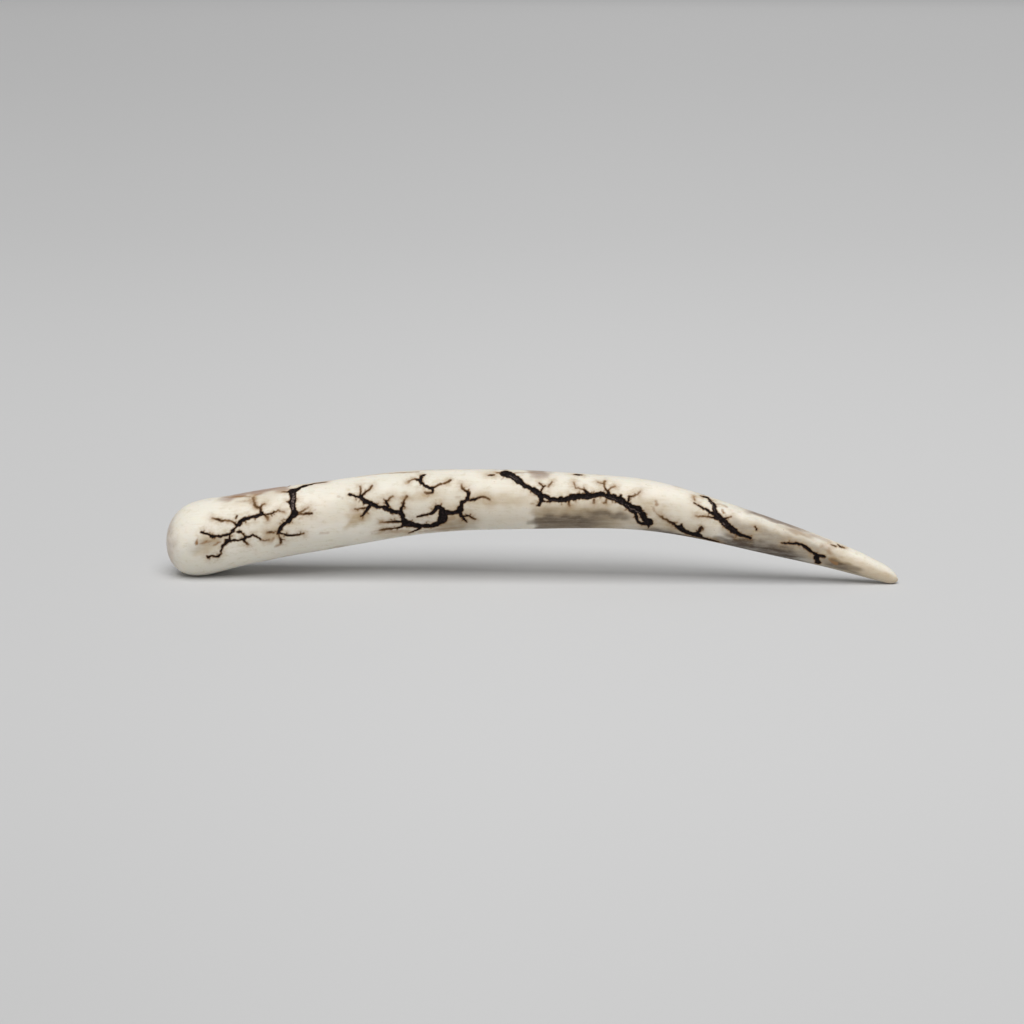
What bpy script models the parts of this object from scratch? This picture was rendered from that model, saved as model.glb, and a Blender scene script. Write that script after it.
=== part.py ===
"""A polished deer antler tine, resting on its butt and on its tip with its curve upward.

One grown piece, so one solid. X runs from the butt to the tip, Z is up, and the
origin lies on the rest plane, under the middle of the tine's bounding box.
"""

import math

import bmesh
import bpy
import numpy as np

MM = 0.001

# Driving dimensions
LENGTH = 150 * MM
WIDTH_SHARE = 0.95
SIDEWAYS_BOW = 0.7 * MM

# The side outline: distance from the butt's end, height of the axis above the
# rest plane, and half the upright thickness, in millimetres
STATIONS = (
    (0, 6.9, 10.1),
    (6, 7.46, 8.4),
    (18, 10.05, 7.4),
    (33, 12.65, 7.15),
    (50, 15.25, 6.65),
    (70, 16.4, 6.1),
    (88, 16.2, 5.55),
    (99, 15.5, 5.2),
    (109, 13.55, 4.65),
    (122, 10.05, 3.95),
    (136, 6.0, 2.9),
    (145, 2.9, 2.15),
    (150, 0.88, 1.4),
)

# The rounded ends: how far each reaches along the tine, and how blunt it is
BUTT_ROUNDING = 10.2 * MM
TIP_ROUNDING = 2.4 * MM
ROUND_POWER = 2.0

# The worn foot under the butt: its section is squarer below, back to this
# distance, and the rest plane cuts it flat
ROUND_SECTION = 2.0
FOOT_SECTION = 2.5
FOOT_FADE = 24 * MM

# Slow swellings of a grown surface: share of the radius, turns along the
# length, turns around the section, and phase in radians
SWELLINGS = (
    (0.010, 3.0, 1, 0.4),
    (0.008, 5.0, 2, 1.9),
    (0.005, 2.0, 3, 4.1),
)

# How finely the skin is divided, the step over which its slope is taken, and
# how near the rest plane a point counts as lying on it
SEGMENTS = 40
RINGS = 72
SLOPE_STEP = 0.25 * MM
ON_PLANE = 0.0001 * MM
SMOOTH_ANGLE = math.radians(40)

# Warm white in linear light, with a satin gloss
IVORY = (0.70, 0.64, 0.52, 1)
IVORY_ROUGHNESS = 0.4


def spline(stations, column, at):
    """A natural cubic spline through one column of the stations, read at the distances given."""
    table = np.array(stations, float) * MM
    x, y = table[:, 0], table[:, column]
    gap, rise = np.diff(x), np.diff(y) / np.diff(x)
    system = np.eye(len(x))
    target = np.zeros(len(x))
    for i in range(1, len(x) - 1):
        system[i, i - 1 : i + 2] = gap[i - 1], 2 * (gap[i - 1] + gap[i]), gap[i]
        target[i] = 6 * (rise[i] - rise[i - 1])
    bend = np.linalg.solve(system, target)
    i = np.clip(np.searchsorted(x, at) - 1, 0, len(gap) - 1)
    left, right = at - x[i], x[i + 1] - at
    cubic = (bend[i] * right**3 + bend[i + 1] * left**3) / (6 * gap[i])
    start = (y[i] / gap[i] - bend[i] * gap[i] / 6) * right
    end = (y[i + 1] / gap[i] - bend[i + 1] * gap[i] / 6) * left
    return cubic + start + end


def end_rounding(distance):
    """The share of the full section that is left at each distance, falling to 0 at both ends."""
    share = np.ones_like(distance)
    for depth, reach in ((distance, BUTT_ROUNDING), (LENGTH - distance, TIP_ROUNDING)):
        inward = np.clip(1 - depth / reach, 0, 1)
        share *= (1 - inward**ROUND_POWER) ** (1 / ROUND_POWER)
    return share


def section_power(distance, angle):
    """2 where the section is an ellipse, and more where the butt's underside is squarer."""
    near_butt = np.clip(1 - distance / FOOT_FADE, 0, 1)
    below = np.clip(-np.sin(angle), 0, 1)
    return ROUND_SECTION + (FOOT_SECTION - ROUND_SECTION) * np.sqrt(near_butt) * np.sqrt(below)


def swelling(distance, angle):
    """The slow rise and fall of the surface, as a factor on the radius."""
    factor = np.ones_like(distance)
    for share, along, around, phase in SWELLINGS:
        turn = 2 * math.pi * along * distance / LENGTH
        factor += share * np.sin(turn + around * angle + phase)
    return factor


def surface(distance, angle):
    """Points of the tine's skin, from distances along it and angles around it, 0 at +Y."""
    rounding = end_rounding(distance)
    axis_height = spline(STATIONS, 1, distance)
    half_height = spline(STATIONS, 2, distance)
    rise = spline(STATIONS, 1, distance + SLOPE_STEP) - spline(STATIONS, 1, distance - SLOPE_STEP)
    lean = np.arctan(rise / (2 * SLOPE_STEP))
    half_width = half_height * WIDTH_SHARE * np.cos(lean)
    power = section_power(distance, angle)
    across = np.abs(np.cos(angle) / half_width) ** power
    upright = np.abs(np.sin(angle) / half_height) ** power
    radius = (across + upright) ** (-1 / power) * rounding * swelling(distance, angle)
    bow = SIDEWAYS_BOW * np.sin(math.pi * distance / LENGTH)
    return np.stack(
        [
            distance,
            bow + radius * np.cos(angle),
            axis_height + radius * np.sin(angle),
        ],
        axis=1,
    )


def shape_ball(mesh):
    """Draws a unit ball's rings out along the tine, from the butt at -Z to the tip at +Z."""
    ball = np.array([vertex.co for vertex in mesh.verts])
    distance = LENGTH * (1 + np.clip(ball[:, 2], -1, 1)) / 2
    angle = np.arctan2(ball[:, 1], ball[:, 0])
    for vertex, place in zip(mesh.verts, surface(distance, angle)):
        vertex.co = place


def wear_foot(mesh):
    """Cuts the butt's underside flat on the rest plane."""
    everything = mesh.verts[:] + mesh.edges[:] + mesh.faces[:]
    cut = bmesh.ops.bisect_plane(
        mesh,
        geom=everything,
        dist=ON_PLANE,
        plane_co=(0, 0, 0),
        plane_no=(0, 0, -1),
        clear_outer=True,
    )
    rim = [part for part in cut["geom_cut"] if isinstance(part, bmesh.types.BMEdge)]
    bmesh.ops.holes_fill(mesh, edges=rim, sides=0)


def centre_over_origin(mesh):
    """Moves the mesh sideways until the origin is under the middle of its bounding box."""
    places = np.array([vertex.co for vertex in mesh.verts])
    middle = (places.min(axis=0) + places.max(axis=0)) / 2
    bmesh.ops.translate(mesh, verts=mesh.verts, vec=(-middle[0], -middle[1], 0))


def ivory_material():
    """Polished antler."""
    material = bpy.data.materials.new("polished_antler")
    material.use_nodes = True
    shader = material.node_tree.nodes["Principled BSDF"]
    shader.inputs["Base Color"].default_value = IVORY
    shader.inputs["Roughness"].default_value = IVORY_ROUGHNESS
    shader.inputs["Metallic"].default_value = 0
    return material


def antler_tine(collection):
    """The whole tine, as one closed solid."""
    shape = bmesh.new()
    bmesh.ops.create_uvsphere(shape, u_segments=SEGMENTS, v_segments=RINGS, radius=1)
    shape_ball(shape)
    wear_foot(shape)
    centre_over_origin(shape)
    bmesh.ops.recalc_face_normals(shape, faces=shape.faces)
    data = bpy.data.meshes.new("antler_tine")
    shape.to_mesh(data)
    shape.free()
    data.shade_smooth()
    data.set_sharp_from_angle(angle=SMOOTH_ANGLE)
    data.materials.append(ivory_material())
    tine = bpy.data.objects.new("antler_tine", data)
    collection.objects.link(tine)
    return tine


def main():
    for old in list(bpy.data.objects):
        bpy.data.objects.remove(old)
    collection = bpy.data.collections.new("deer_antler_tine")
    bpy.context.scene.collection.children.link(collection)
    antler_tine(collection)


main()
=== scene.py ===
"""Looks of a polished deer antler tine, resting on its butt and its tip on a pale floor.

The skin is one closed mesh that stands for the tine's solid. It repeats the solid's
form, finely divided, and the burnt veins are shallow channels in it. Each vertex holds
the fields that the finish reads: how far it is from a vein's edge, how dark the vein
is, how scorched the antler beside it is, and how much of each tint it takes: real
stain, and painted shade on the underside towards the tip.

Along the tine, distance runs from the butt's end to the tip. Around it, angles run
from the back (0) over the top (90) and the front (180) to the underside (270).
"""

import logging
import math
import random
from dataclasses import dataclass, field
from enum import Enum
from typing import Any, Union

import bpy
import numpy as np
from mathutils import Matrix, Vector, noise
from mathutils.bvhtree import BVHTree


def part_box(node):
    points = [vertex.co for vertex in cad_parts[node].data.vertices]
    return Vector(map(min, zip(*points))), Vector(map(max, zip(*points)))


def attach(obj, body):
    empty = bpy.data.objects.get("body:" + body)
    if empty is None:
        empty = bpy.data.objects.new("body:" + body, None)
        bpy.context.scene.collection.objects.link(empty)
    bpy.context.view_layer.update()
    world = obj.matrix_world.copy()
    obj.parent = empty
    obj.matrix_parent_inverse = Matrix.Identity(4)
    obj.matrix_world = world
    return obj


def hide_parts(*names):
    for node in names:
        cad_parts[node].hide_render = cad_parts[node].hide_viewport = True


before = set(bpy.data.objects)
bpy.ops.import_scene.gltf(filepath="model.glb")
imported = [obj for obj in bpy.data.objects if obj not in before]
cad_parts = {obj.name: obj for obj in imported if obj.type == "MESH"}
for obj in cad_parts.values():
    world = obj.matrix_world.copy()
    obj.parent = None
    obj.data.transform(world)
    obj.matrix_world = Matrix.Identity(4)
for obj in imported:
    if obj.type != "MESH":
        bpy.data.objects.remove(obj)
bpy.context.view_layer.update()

LOG = logging.getLogger("antler_tine")

MM = 0.001
PHOTO_SIDE_PX = 1024
NODE = "antler_tine"
SLOT = "polished_antler"


def smoothstep(low: float, high: float, value: np.ndarray) -> np.ndarray:
    """Rises smoothly from 0 at low to 1 at high, or falls where low is the larger.

    Args:
        low: the value that gives 0.
        high: the value that gives 1.
        value: what is read.

    Returns:
        The eased share, between 0 and 1.
    """
    share = np.clip((value - low) / (high - low), 0, 1)
    return share * share * (3 - 2 * share)


@dataclass(frozen=True)
class TineForm:
    """The tine's shape, as its solid has it: a curved, tapering rod with rounded ends."""

    length: float = 150 * MM
    width_share: float = 0.95
    sideways_bow: float = 0.7 * MM
    butt_rounding: float = 10.2 * MM
    tip_rounding: float = 2.4 * MM
    round_power: float = 2.0
    round_section: float = 2.0
    foot_section: float = 2.5
    foot_fade: float = 24 * MM
    slope_step: float = 0.25 * MM
    # How many points the outline is walked through
    outline_steps: int = 2001
    # Distance, height of the axis, half the upright thickness, in millimetres
    stations: tuple[tuple[float, float, float], ...] = (
        (0, 6.9, 10.1),
        (6, 7.46, 8.4),
        (18, 10.05, 7.4),
        (33, 12.65, 7.15),
        (50, 15.25, 6.65),
        (70, 16.4, 6.1),
        (88, 16.2, 5.55),
        (99, 15.5, 5.2),
        (109, 13.55, 4.65),
        (122, 10.05, 3.95),
        (136, 6.0, 2.9),
        (145, 2.9, 2.15),
        (150, 0.88, 1.4),
    )
    # Share of the radius, turns along the length, turns around, phase in radians
    swellings: tuple[tuple[float, float, int, float], ...] = (
        (0.010, 3.0, 1, 0.4),
        (0.008, 5.0, 2, 1.9),
        (0.005, 2.0, 3, 4.1),
    )

    def spline(self, column: int, at: np.ndarray) -> np.ndarray:
        """Reads a natural cubic spline through one column of the stations.

        Args:
            column: 1 for the axis's height, 2 for half the thickness.
            at: distances along the tine.

        Returns:
            The column's value at each distance, in metres.
        """
        table = np.array(self.stations, float) * MM
        x, y = table[:, 0], table[:, column]
        gap, rise = np.diff(x), np.diff(y) / np.diff(x)
        system = np.eye(len(x))
        target = np.zeros(len(x))
        for i in range(1, len(x) - 1):
            system[i, i - 1 : i + 2] = gap[i - 1], 2 * (gap[i - 1] + gap[i]), gap[i]
            target[i] = 6 * (rise[i] - rise[i - 1])
        bend = np.linalg.solve(system, target)
        i = np.clip(np.searchsorted(x, at) - 1, 0, len(gap) - 1)
        left, right = at - x[i], x[i + 1] - at
        cubic = (bend[i] * right**3 + bend[i + 1] * left**3) / (6 * gap[i])
        start = (y[i] / gap[i] - bend[i] * gap[i] / 6) * right
        end = (y[i + 1] / gap[i] - bend[i + 1] * gap[i] / 6) * left
        return cubic + start + end

    def end_rounding(self, distance: np.ndarray) -> np.ndarray:
        """Gives the share of the full section left near each end.

        Args:
            distance: distances along the tine.

        Returns:
            1 along the shaft, falling to 0 at both ends.
        """
        share = np.ones_like(distance)
        ends = ((distance, self.butt_rounding), (self.length - distance, self.tip_rounding))
        for depth, reach in ends:
            inward = np.clip(1 - depth / reach, 0, 1)
            share *= np.clip(1 - inward**self.round_power, 0, 1) ** (1 / self.round_power)
        return share

    def surface(self, distance: np.ndarray, angle: np.ndarray) -> np.ndarray:
        """Gives points of the skin, before it is placed over the solid.

        Args:
            distance: distances along the tine.
            angle: angles around it in radians, 0 at the back.

        Returns:
            One point a row, in metres.
        """
        axis_height = self.spline(1, distance)
        half_height = self.spline(2, distance)
        step = self.slope_step
        rise = self.spline(1, distance + step) - self.spline(1, distance - step)
        half_width = half_height * self.width_share * np.cos(np.arctan(rise / (2 * step)))
        near_butt = np.clip(1 - distance / self.foot_fade, 0, 1)
        below = np.clip(-np.sin(angle), 0, 1)
        squareness = (self.foot_section - self.round_section) * np.sqrt(near_butt * below)
        power = self.round_section + squareness
        across = np.abs(np.cos(angle) / half_width) ** power
        upright = np.abs(np.sin(angle) / half_height) ** power
        radius = (across + upright) ** (-1 / power) * self.end_rounding(distance)
        swell = np.ones_like(distance)
        for share, along, around, phase in self.swellings:
            turn = 2 * math.pi * along * distance / self.length
            swell += share * np.sin(turn + around * angle + phase)
        radius *= swell
        bow = self.sideways_bow * np.sin(math.pi * distance / self.length)
        points = np.stack(
            [distance, bow + radius * np.cos(angle), axis_height + radius * np.sin(angle)],
            axis=1,
        )
        points[:, 2] = np.maximum(points[:, 2], 0)
        return points

    def outline_distances(self, shares: np.ndarray) -> np.ndarray:
        """Turns shares of the way over the outline, end caps included, into distances.

        Args:
            shares: shares from 0 at the butt's middle to 1 at the tip.

        Returns:
            The distance along the tine for each share.
        """
        turns = np.linspace(0, math.pi, self.outline_steps)
        fine = self.length * (1 - np.cos(turns)) / 2
        height = self.spline(2, fine) * self.end_rounding(fine)
        steps = np.hypot(np.diff(fine), np.diff(height))
        walked = np.concatenate([[0], np.cumsum(steps)])
        return np.interp(shares * walked[-1], walked, fine)


@dataclass(frozen=True)
class StudioCamera:
    """The camera, at the photograph's viewing angle, and the sight lines through its pixels."""

    azimuth_deg: float = 3.25
    elevation_deg: float = 13.0
    distance: float = 493.7 * MM
    target: tuple[float, float, float] = (-3.73 * MM, 0, 13.88 * MM)
    lens_mm: float = 85.0
    sensor_mm: float = 36.0

    def basis(self) -> tuple[Vector, Vector, Vector]:
        """Works out the camera's own directions.

        Returns:
            Its right, up and backward directions, each of length 1.
        """
        turn, rise = math.radians(self.azimuth_deg), math.radians(self.elevation_deg)
        level = math.cos(rise)
        back = Vector((math.sin(turn) * level, -math.cos(turn) * level, math.sin(rise)))
        right = Vector((math.cos(turn), math.sin(turn), 0))
        return right, back.cross(right), back

    def place(self) -> Vector:
        """Gives the camera's own position."""
        return Vector(self.target) + self.basis()[2] * self.distance

    def sight_line(self, pixel: tuple[float, float]) -> Vector:
        """Gives the direction in which the camera sees a pixel of the photograph.

        Args:
            pixel: the pixel, from the photograph's upper left corner.

        Returns:
            The direction, of length 1.
        """
        right, up, back = self.basis()
        width = self.sensor_mm / self.lens_mm
        across = (pixel[0] / PHOTO_SIDE_PX - 0.5) * width
        upward = (0.5 - pixel[1] / PHOTO_SIDE_PX) * width
        return (right * across + up * upward - back).normalized()

    def build(self) -> bpy.types.Object:
        """Adds the camera and makes it the scene's.

        Returns:
            The camera object.
        """
        right, up, back = self.basis()
        data = bpy.data.cameras.new("camera")
        data.lens = self.lens_mm
        data.sensor_width = self.sensor_mm
        camera = bpy.data.objects.new("camera", data)
        turned = Matrix((right, up, back)).transposed().to_4x4()
        camera.matrix_world = Matrix.Translation(self.place()) @ turned
        bpy.context.scene.collection.objects.link(camera)
        bpy.context.scene.camera = camera
        return camera


@dataclass(frozen=True)
class Vein:
    """One vein: its points and widths in the photograph's pixels, and its darkness.

    The widths and the darkness are one to a point, or else spread evenly along it.
    """

    points: tuple[tuple[float, float], ...]
    widths: tuple[float, ...]
    dark: tuple[float, ...] = (1.0,)


BUTT_TREE = (
    Vein(
        ((253.1, 497.5), (253.8, 500), (254.1, 502.6), (254.6, 505), (257, 507), (260, 508.2),
         (261.2, 511.2), (261.5, 513.6)),
        (1.8, 1.7, 1.9, 2.6, 2.4, 3, 2.4, 3.6),
        (0.24, 0.32, 0.38, 0.42, 0.46, 0.55, 0.75, 1),
    ),
    Vein(
        ((261.5, 513.8), (256.8, 516.2), (250.6, 517.6), (245, 519.2), (241.2, 521.4),
         (239.2, 524.4), (236.8, 527), (234.4, 529), (232.8, 530.8)),
        (3.8, 3, 3.4, 3.5, 4.4, 4.4, 2.7, 2.1, 3),
    ),
    Vein(((260.8, 507.2), (262.4, 505.2), (264.6, 504)), (1.5, 1.8, 1.4), (0.55, 0.38, 0.3)),
    Vein(
        ((262, 513.8), (266.8, 514.4), (271.2, 513.6), (274.4, 512.4), (278.2, 510.2)),
        (2.4, 1.7, 1.8, 1.5, 1),
        (1, 0.9, 0.85, 0.5),
    ),
    Vein(((278.2, 510.2), (284.6, 511.9)), (0.8, 0.6), (0.4, 0.2)),
    Vein(((264.6, 514.6), (266.2, 516.4), (267.8, 519.4)), (1.8, 1.8, 1.5), (0.65, 0.42, 0.25)),
    Vein(
        ((236.4, 525), (234.6, 523), (233.4, 522), (230, 521.3), (225, 520.5), (220, 520.4),
         (217.4, 519), (215, 518.7), (212, 518)),
        (2.6, 2.2, 1.8, 1.2, 1.4, 2, 2.2, 1.6, 1),
        (1, 0.8, 0.6, 0.4, 0.5, 0.75, 0.7, 0.4, 0.2),
    ),
    Vein(((236.9, 516), (235.8, 518.2)), (1.7, 1.4), (0.8, 0.7)),
    Vein(
        ((232.6, 531), (230, 533.6), (225.6, 535), (221.2, 536.2), (216.4, 536.6), (212.8, 536.4),
         (209.6, 534.6), (205, 533.2), (201.2, 532.3)),
        (2.8, 2.6, 2.2, 2.6, 2.6, 3.8, 2.2, 2, 2.4),
    ),
    Vein(((212.6, 536.6), (212.4, 538.2)), (2.6, 1.4)),
    Vein(((229.7, 534.4), (229.7, 537), (229.4, 540)), (2, 1.6, 2.2), (0.9,)),
    Vein(((237.2, 532), (240.6, 531.7)), (1.8, 2.8), (0.85, 1)),
    Vein(((240.8, 532), (243.2, 534), (245, 536.8)), (1.8, 1.5, 2.4), (0.9, 0.6, 0.9)),
    Vein(
        ((225.4, 540), (228.8, 540.8), (232.4, 540.6), (236.8, 540.5), (241, 539.8), (244, 538.8),
         (245.4, 537), (248.2, 536.5), (252, 535.9), (255, 536.2), (257.6, 537.4), (260, 539)),
        (1.8, 3.6, 2.6, 1.6, 2.2, 3, 2.8, 2, 2, 2, 1.9, 2.4),
        (1, 1, 1, 1, 1, 1, 0.85),
    ),
    Vein(((260, 539), (264, 540.2), (269, 540)), (1.2, 1, 0.7), (0.7, 0.4, 0.2)),
    Vein(((243.4, 540), (245.8, 543), (248.2, 544.6)), (2.8, 2, 1.4), (0.95, 0.6, 0.3)),
    Vein(
        ((228, 541.4), (225.6, 543.2), (223.1, 545.6), (221.6, 548.8), (220.9, 552.4), (219.8, 555),
         (216.8, 556.9), (213, 555.7), (210, 556.5), (208, 557.5)),
        (3.6, 3, 2.6, 2, 1.9, 2.3, 2, 1.8, 1.9, 2.3),
        (1, 1, 0.95, 0.9, 0.85),
    ),
    Vein(((208, 557.4), (206.8, 556)), (1.6, 1), (0.8, 0.6)),
)

SADDLE_TREE = (
    Vein(
        ((326.4, 482), (320.8, 482.6), (315.1, 483.4), (310.1, 484.4), (305.8, 485.5),
         (300.8, 487.2), (297, 489.2), (293.4, 490.8)),
        (1, 1.4, 1.6, 1.9, 1.9, 2.6, 3.8, 5.6),
        (0.35, 0.5, 0.7, 0.85, 1, 1, 1, 1),
    ),
    Vein(
        ((292.6, 490.6), (292.6, 494.5), (293.1, 498.2), (292.4, 502), (292.3, 505), (292.9, 508),
         (293.7, 510.4), (295, 513.2)),
        (6, 6.4, 7.4, 6.4, 5.6, 5.2, 5.2, 5.8),
    ),
    Vein(
        ((295, 513.2), (291.6, 517.4), (288.9, 520.6), (285.1, 523.8), (281, 526.8), (280, 529.4),
         (278.4, 532), (277.6, 534)),
        (6, 5.2, 4.6, 4, 3.6, 4, 3.4, 2),
        (1, 1, 1, 1, 1, 1, 0.9, 0.6),
    ),
    Vein(
        ((290.4, 491.6), (288.9, 491.8), (285.8, 491.9), (281.6, 491.8)),
        (2.6, 2, 1, 0.7),
        (1, 0.8, 0.5, 0.2),
    ),
    Vein(((290, 502.4), (288.4, 502.4), (286.8, 501.6)), (3, 2.2, 1.2), (1, 0.85, 0.5)),
    Vein(
        ((297, 513.8), (299.6, 514.2), (304.5, 514), (309.5, 513.5), (311.8, 513.4)),
        (2, 1.6, 2, 2, 2.4),
        (0.8, 0.55, 0.6, 0.65, 0.75),
    ),
    Vein(
        ((297.2, 512.6), (302, 511), (304.8, 509.4), (308.4, 507.4)),
        (1.4, 1, 1.2, 0.7),
        (0.5, 0.36, 0.34, 0.12),
    ),
    Vein(
        ((279.4, 532.6), (281, 533.5), (284, 534.5), (288.2, 535.3), (292.6, 535.3), (297, 534.9),
         (300.8, 534.4), (304, 533.4)),
        (2.4, 2, 1.9, 1.8, 1.9, 1.7, 1.5, 0.9),
        (1, 1, 1, 1, 1, 0.95, 0.75, 0.45),
    ),
    Vein(((267.4, 532.5), (270.8, 532.5), (273.6, 532.5)), (1.4, 2, 1.6), (0.38, 0.6, 0.42)),
    Vein(
        ((278.8, 534.6), (279.2, 537), (280.8, 540.3), (280.8, 543)),
        (1.1, 1.2, 2.8, 1.8),
        (0.42, 0.5, 0.72, 0.55),
    ),
)

SHAFT_TREE = (
    Vein(
        ((349.6, 494.5), (353.1, 495.4), (356.2, 496.6), (359.4, 496.7), (361.9, 498.8),
         (365, 501.2), (368.8, 502.6), (371.9, 504.8), (375, 506), (378.8, 506.9), (382.5, 507.5),
         (386.2, 508.8), (390, 510.5), (393.8, 511.6), (397.5, 512.3), (400.8, 512.5)),
        (3.6, 2, 2.2, 3.4, 4.4, 4.8, 4.6, 5.4, 4.8, 4, 4, 5, 5, 4.6, 4.4, 5),
    ),
    Vein(
        ((400.8, 512.5), (402.6, 515.2), (403.2, 518.2), (404.4, 521.6), (407.6, 523.8),
         (413, 524.4), (418, 525.8), (424, 526), (430, 526.4), (435, 525), (440.4, 522),
         (443, 518)),
        (5, 5.4, 5.6, 7, 6.4, 5, 4.8, 3.9, 3.5, 4.4, 6.4, 8),
    ),
    Vein(((402.4, 525.2), (408, 525.4), (414, 525.8)), (2.6, 2.6, 2.4)),
    Vein(
        ((443, 518), (443.2, 513.8), (442, 510), (439.2, 507.2), (436, 508.2), (434.6, 510.8),
         (432.8, 513), (430.4, 514), (426, 514.8), (421.6, 515.8), (417.4, 516.9)),
        (8, 7.2, 5.8, 4.6, 4.4, 3.8, 3.2, 2.8, 2.2, 2.4, 1.8),
    ),
    Vein(((444.6, 515), (446, 518.6)), (4.2, 3)),
    Vein(
        ((445.5, 512.8), (447, 512.9), (450, 513.2), (453.6, 512.6), (457, 511.4), (460.2, 509.4)),
        (5.4, 5, 4.2, 3.6, 4, 6),
    ),
    Vein(
        ((460.4, 509), (461.4, 505.4), (462, 502.8), (464.6, 500.8), (467.4, 499), (468, 495.6),
         (468.6, 493.2), (466.6, 491.8), (464.4, 490), (462.2, 488.8), (461.6, 486.6),
         (461.8, 484.4)),
        (5.6, 4.4, 4, 3, 3.6, 3.4, 3.6, 2, 2.2, 2, 1.4, 1),
        (1, 1, 1, 1, 1, 1, 0.9, 0.8, 0.65, 0.5, 0.36, 0.2),
    ),
    Vein(((468.8, 493.2), (469.6, 492)), (2.4, 1.6)),
    Vein(
        ((465.4, 500.6), (470, 500), (474.6, 499.6), (478, 498), (482, 497), (485, 497),
         (487.6, 498.6), (489.6, 499.7)),
        (2.6, 2.3, 2.6, 2, 1.8, 1.8, 1.6, 1.2),
        (1, 1, 0.9, 0.7, 0.6, 0.5, 0.45, 0.4),
    ),
    Vein(
        ((459.8, 511.8), (460.6, 514.8), (462.4, 517.4), (464.6, 519.8), (466.6, 522)),
        (4.4, 3.4, 3, 2.4, 1.6),
        (1, 1, 1, 0.95, 0.85),
    ),
    Vein(
        ((462.6, 516.4), (466.6, 516), (470, 516.6), (473, 518), (475.2, 519.3)),
        (2.2, 1.8, 2, 2, 1.5),
        (1, 0.9, 0.75, 0.6, 0.5),
    ),
    Vein(
        ((360.2, 495.6), (360.5, 492), (360.4, 489), (360.2, 486.4)),
        (2.2, 1.6, 1.9, 1.6),
        (0.85, 0.55, 0.42, 0.32),
    ),
    Vein(
        ((361.4, 496.2), (364.8, 493.2), (368.6, 489.8), (371.8, 486)),
        (2.8, 1.8, 1.8, 1.6),
        (1, 0.65, 0.55, 0.45),
    ),
    Vein(
        ((369.6, 506.4), (368, 507.8), (366.8, 511), (364.6, 514), (361, 516.3)),
        (3.2, 3.6, 3.6, 2.6, 1.7),
        (1, 1, 1, 0.95, 0.75),
    ),
    Vein(((367, 508.4), (361, 508.6), (355, 508.8)), (1.8, 1.4, 1.1), (0.9, 0.55, 0.3)),
    Vein(
        ((386.8, 508), (387.6, 504.4), (386.2, 501.4), (384, 499.6)),
        (3.4, 2.8, 2.2, 1.5),
        (1, 1, 0.9, 0.55),
    ),
    Vein(((386.4, 501.2), (389.6, 499), (392.6, 496.4)), (1.8, 1.8, 1.3), (0.85, 0.6, 0.35)),
    Vein(
        ((401, 510.6), (402.4, 507), (403.4, 504), (404.2, 501), (405.2, 498.6), (406.6, 496.6)),
        (3.4, 2.6, 2.8, 1.6, 1.2, 2.2),
        (1, 0.9, 0.7, 0.5, 0.4, 0.4),
    ),
    Vein(((403.2, 504.2), (401.6, 503)), (1.6, 1), (0.8, 0.5)),
    Vein(((403.8, 506), (405.2, 507.8)), (1.6, 1), (0.8, 0.5)),
    Vein(
        ((402, 521.6), (395, 521.8), (390, 522), (385, 522.4), (380.4, 522.6)),
        (2.6, 2, 2.1, 1.3, 0.9),
        (1, 0.75, 0.6, 0.35, 0.15),
    ),
    Vein(
        ((402, 526.6), (396, 528), (391, 528.7), (385, 529.4), (380, 530.2)),
        (2, 1.7, 1.6, 1.8, 1.3),
        (0.95, 0.7, 0.5, 0.5, 0.4),
    ),
    Vein(
        ((420, 527.8), (419, 529), (415.4, 530.6), (412, 532), (408.8, 533)),
        (3.4, 2.6, 1.8, 1.5, 1),
        (1, 1, 0.9, 0.75, 0.55),
    ),
)

CROWN_SPRIG = (
    Vein(
        ((424.8, 474.6), (421.8, 476), (420.6, 478.4), (420.8, 481), (422.8, 483.8), (425.6, 486.2),
         (429, 487.4), (431.6, 488.8), (432.8, 490.8), (432.8, 492.8)),
        (1.5, 2.8, 3.8, 3.8, 3, 2.5, 2.6, 2.8, 2.6, 2),
        (0.85, 1, 1, 1, 1, 1, 1, 1, 0.95, 0.85),
    ),
    Vein(
        ((419.4, 479.9), (416.4, 479.6), (413, 479.6), (410, 480.6), (408.4, 482)),
        (2.8, 1.7, 1.2, 1.2, 1.5),
        (1, 0.75, 0.35, 0.3, 0.2),
    ),
    Vein(
        ((432.4, 487.8), (435.6, 487), (438.6, 484.8), (442, 483.8), (446, 482.8), (448.4, 482),
         (450.2, 480.2)),
        (2.2, 1.7, 1.8, 1.5, 1.4, 1.4, 1.8),
        (0.8, 0.6, 0.5, 0.42, 0.45, 0.5, 0.5),
    ),
    Vein(
        ((432.4, 492.6), (430.4, 493), (428.4, 493.4), (425, 492.4)),
        (1.8, 1.9, 2.2, 1.5),
        (0.75, 0.55, 0.5, 0.3),
    ),
)

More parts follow.
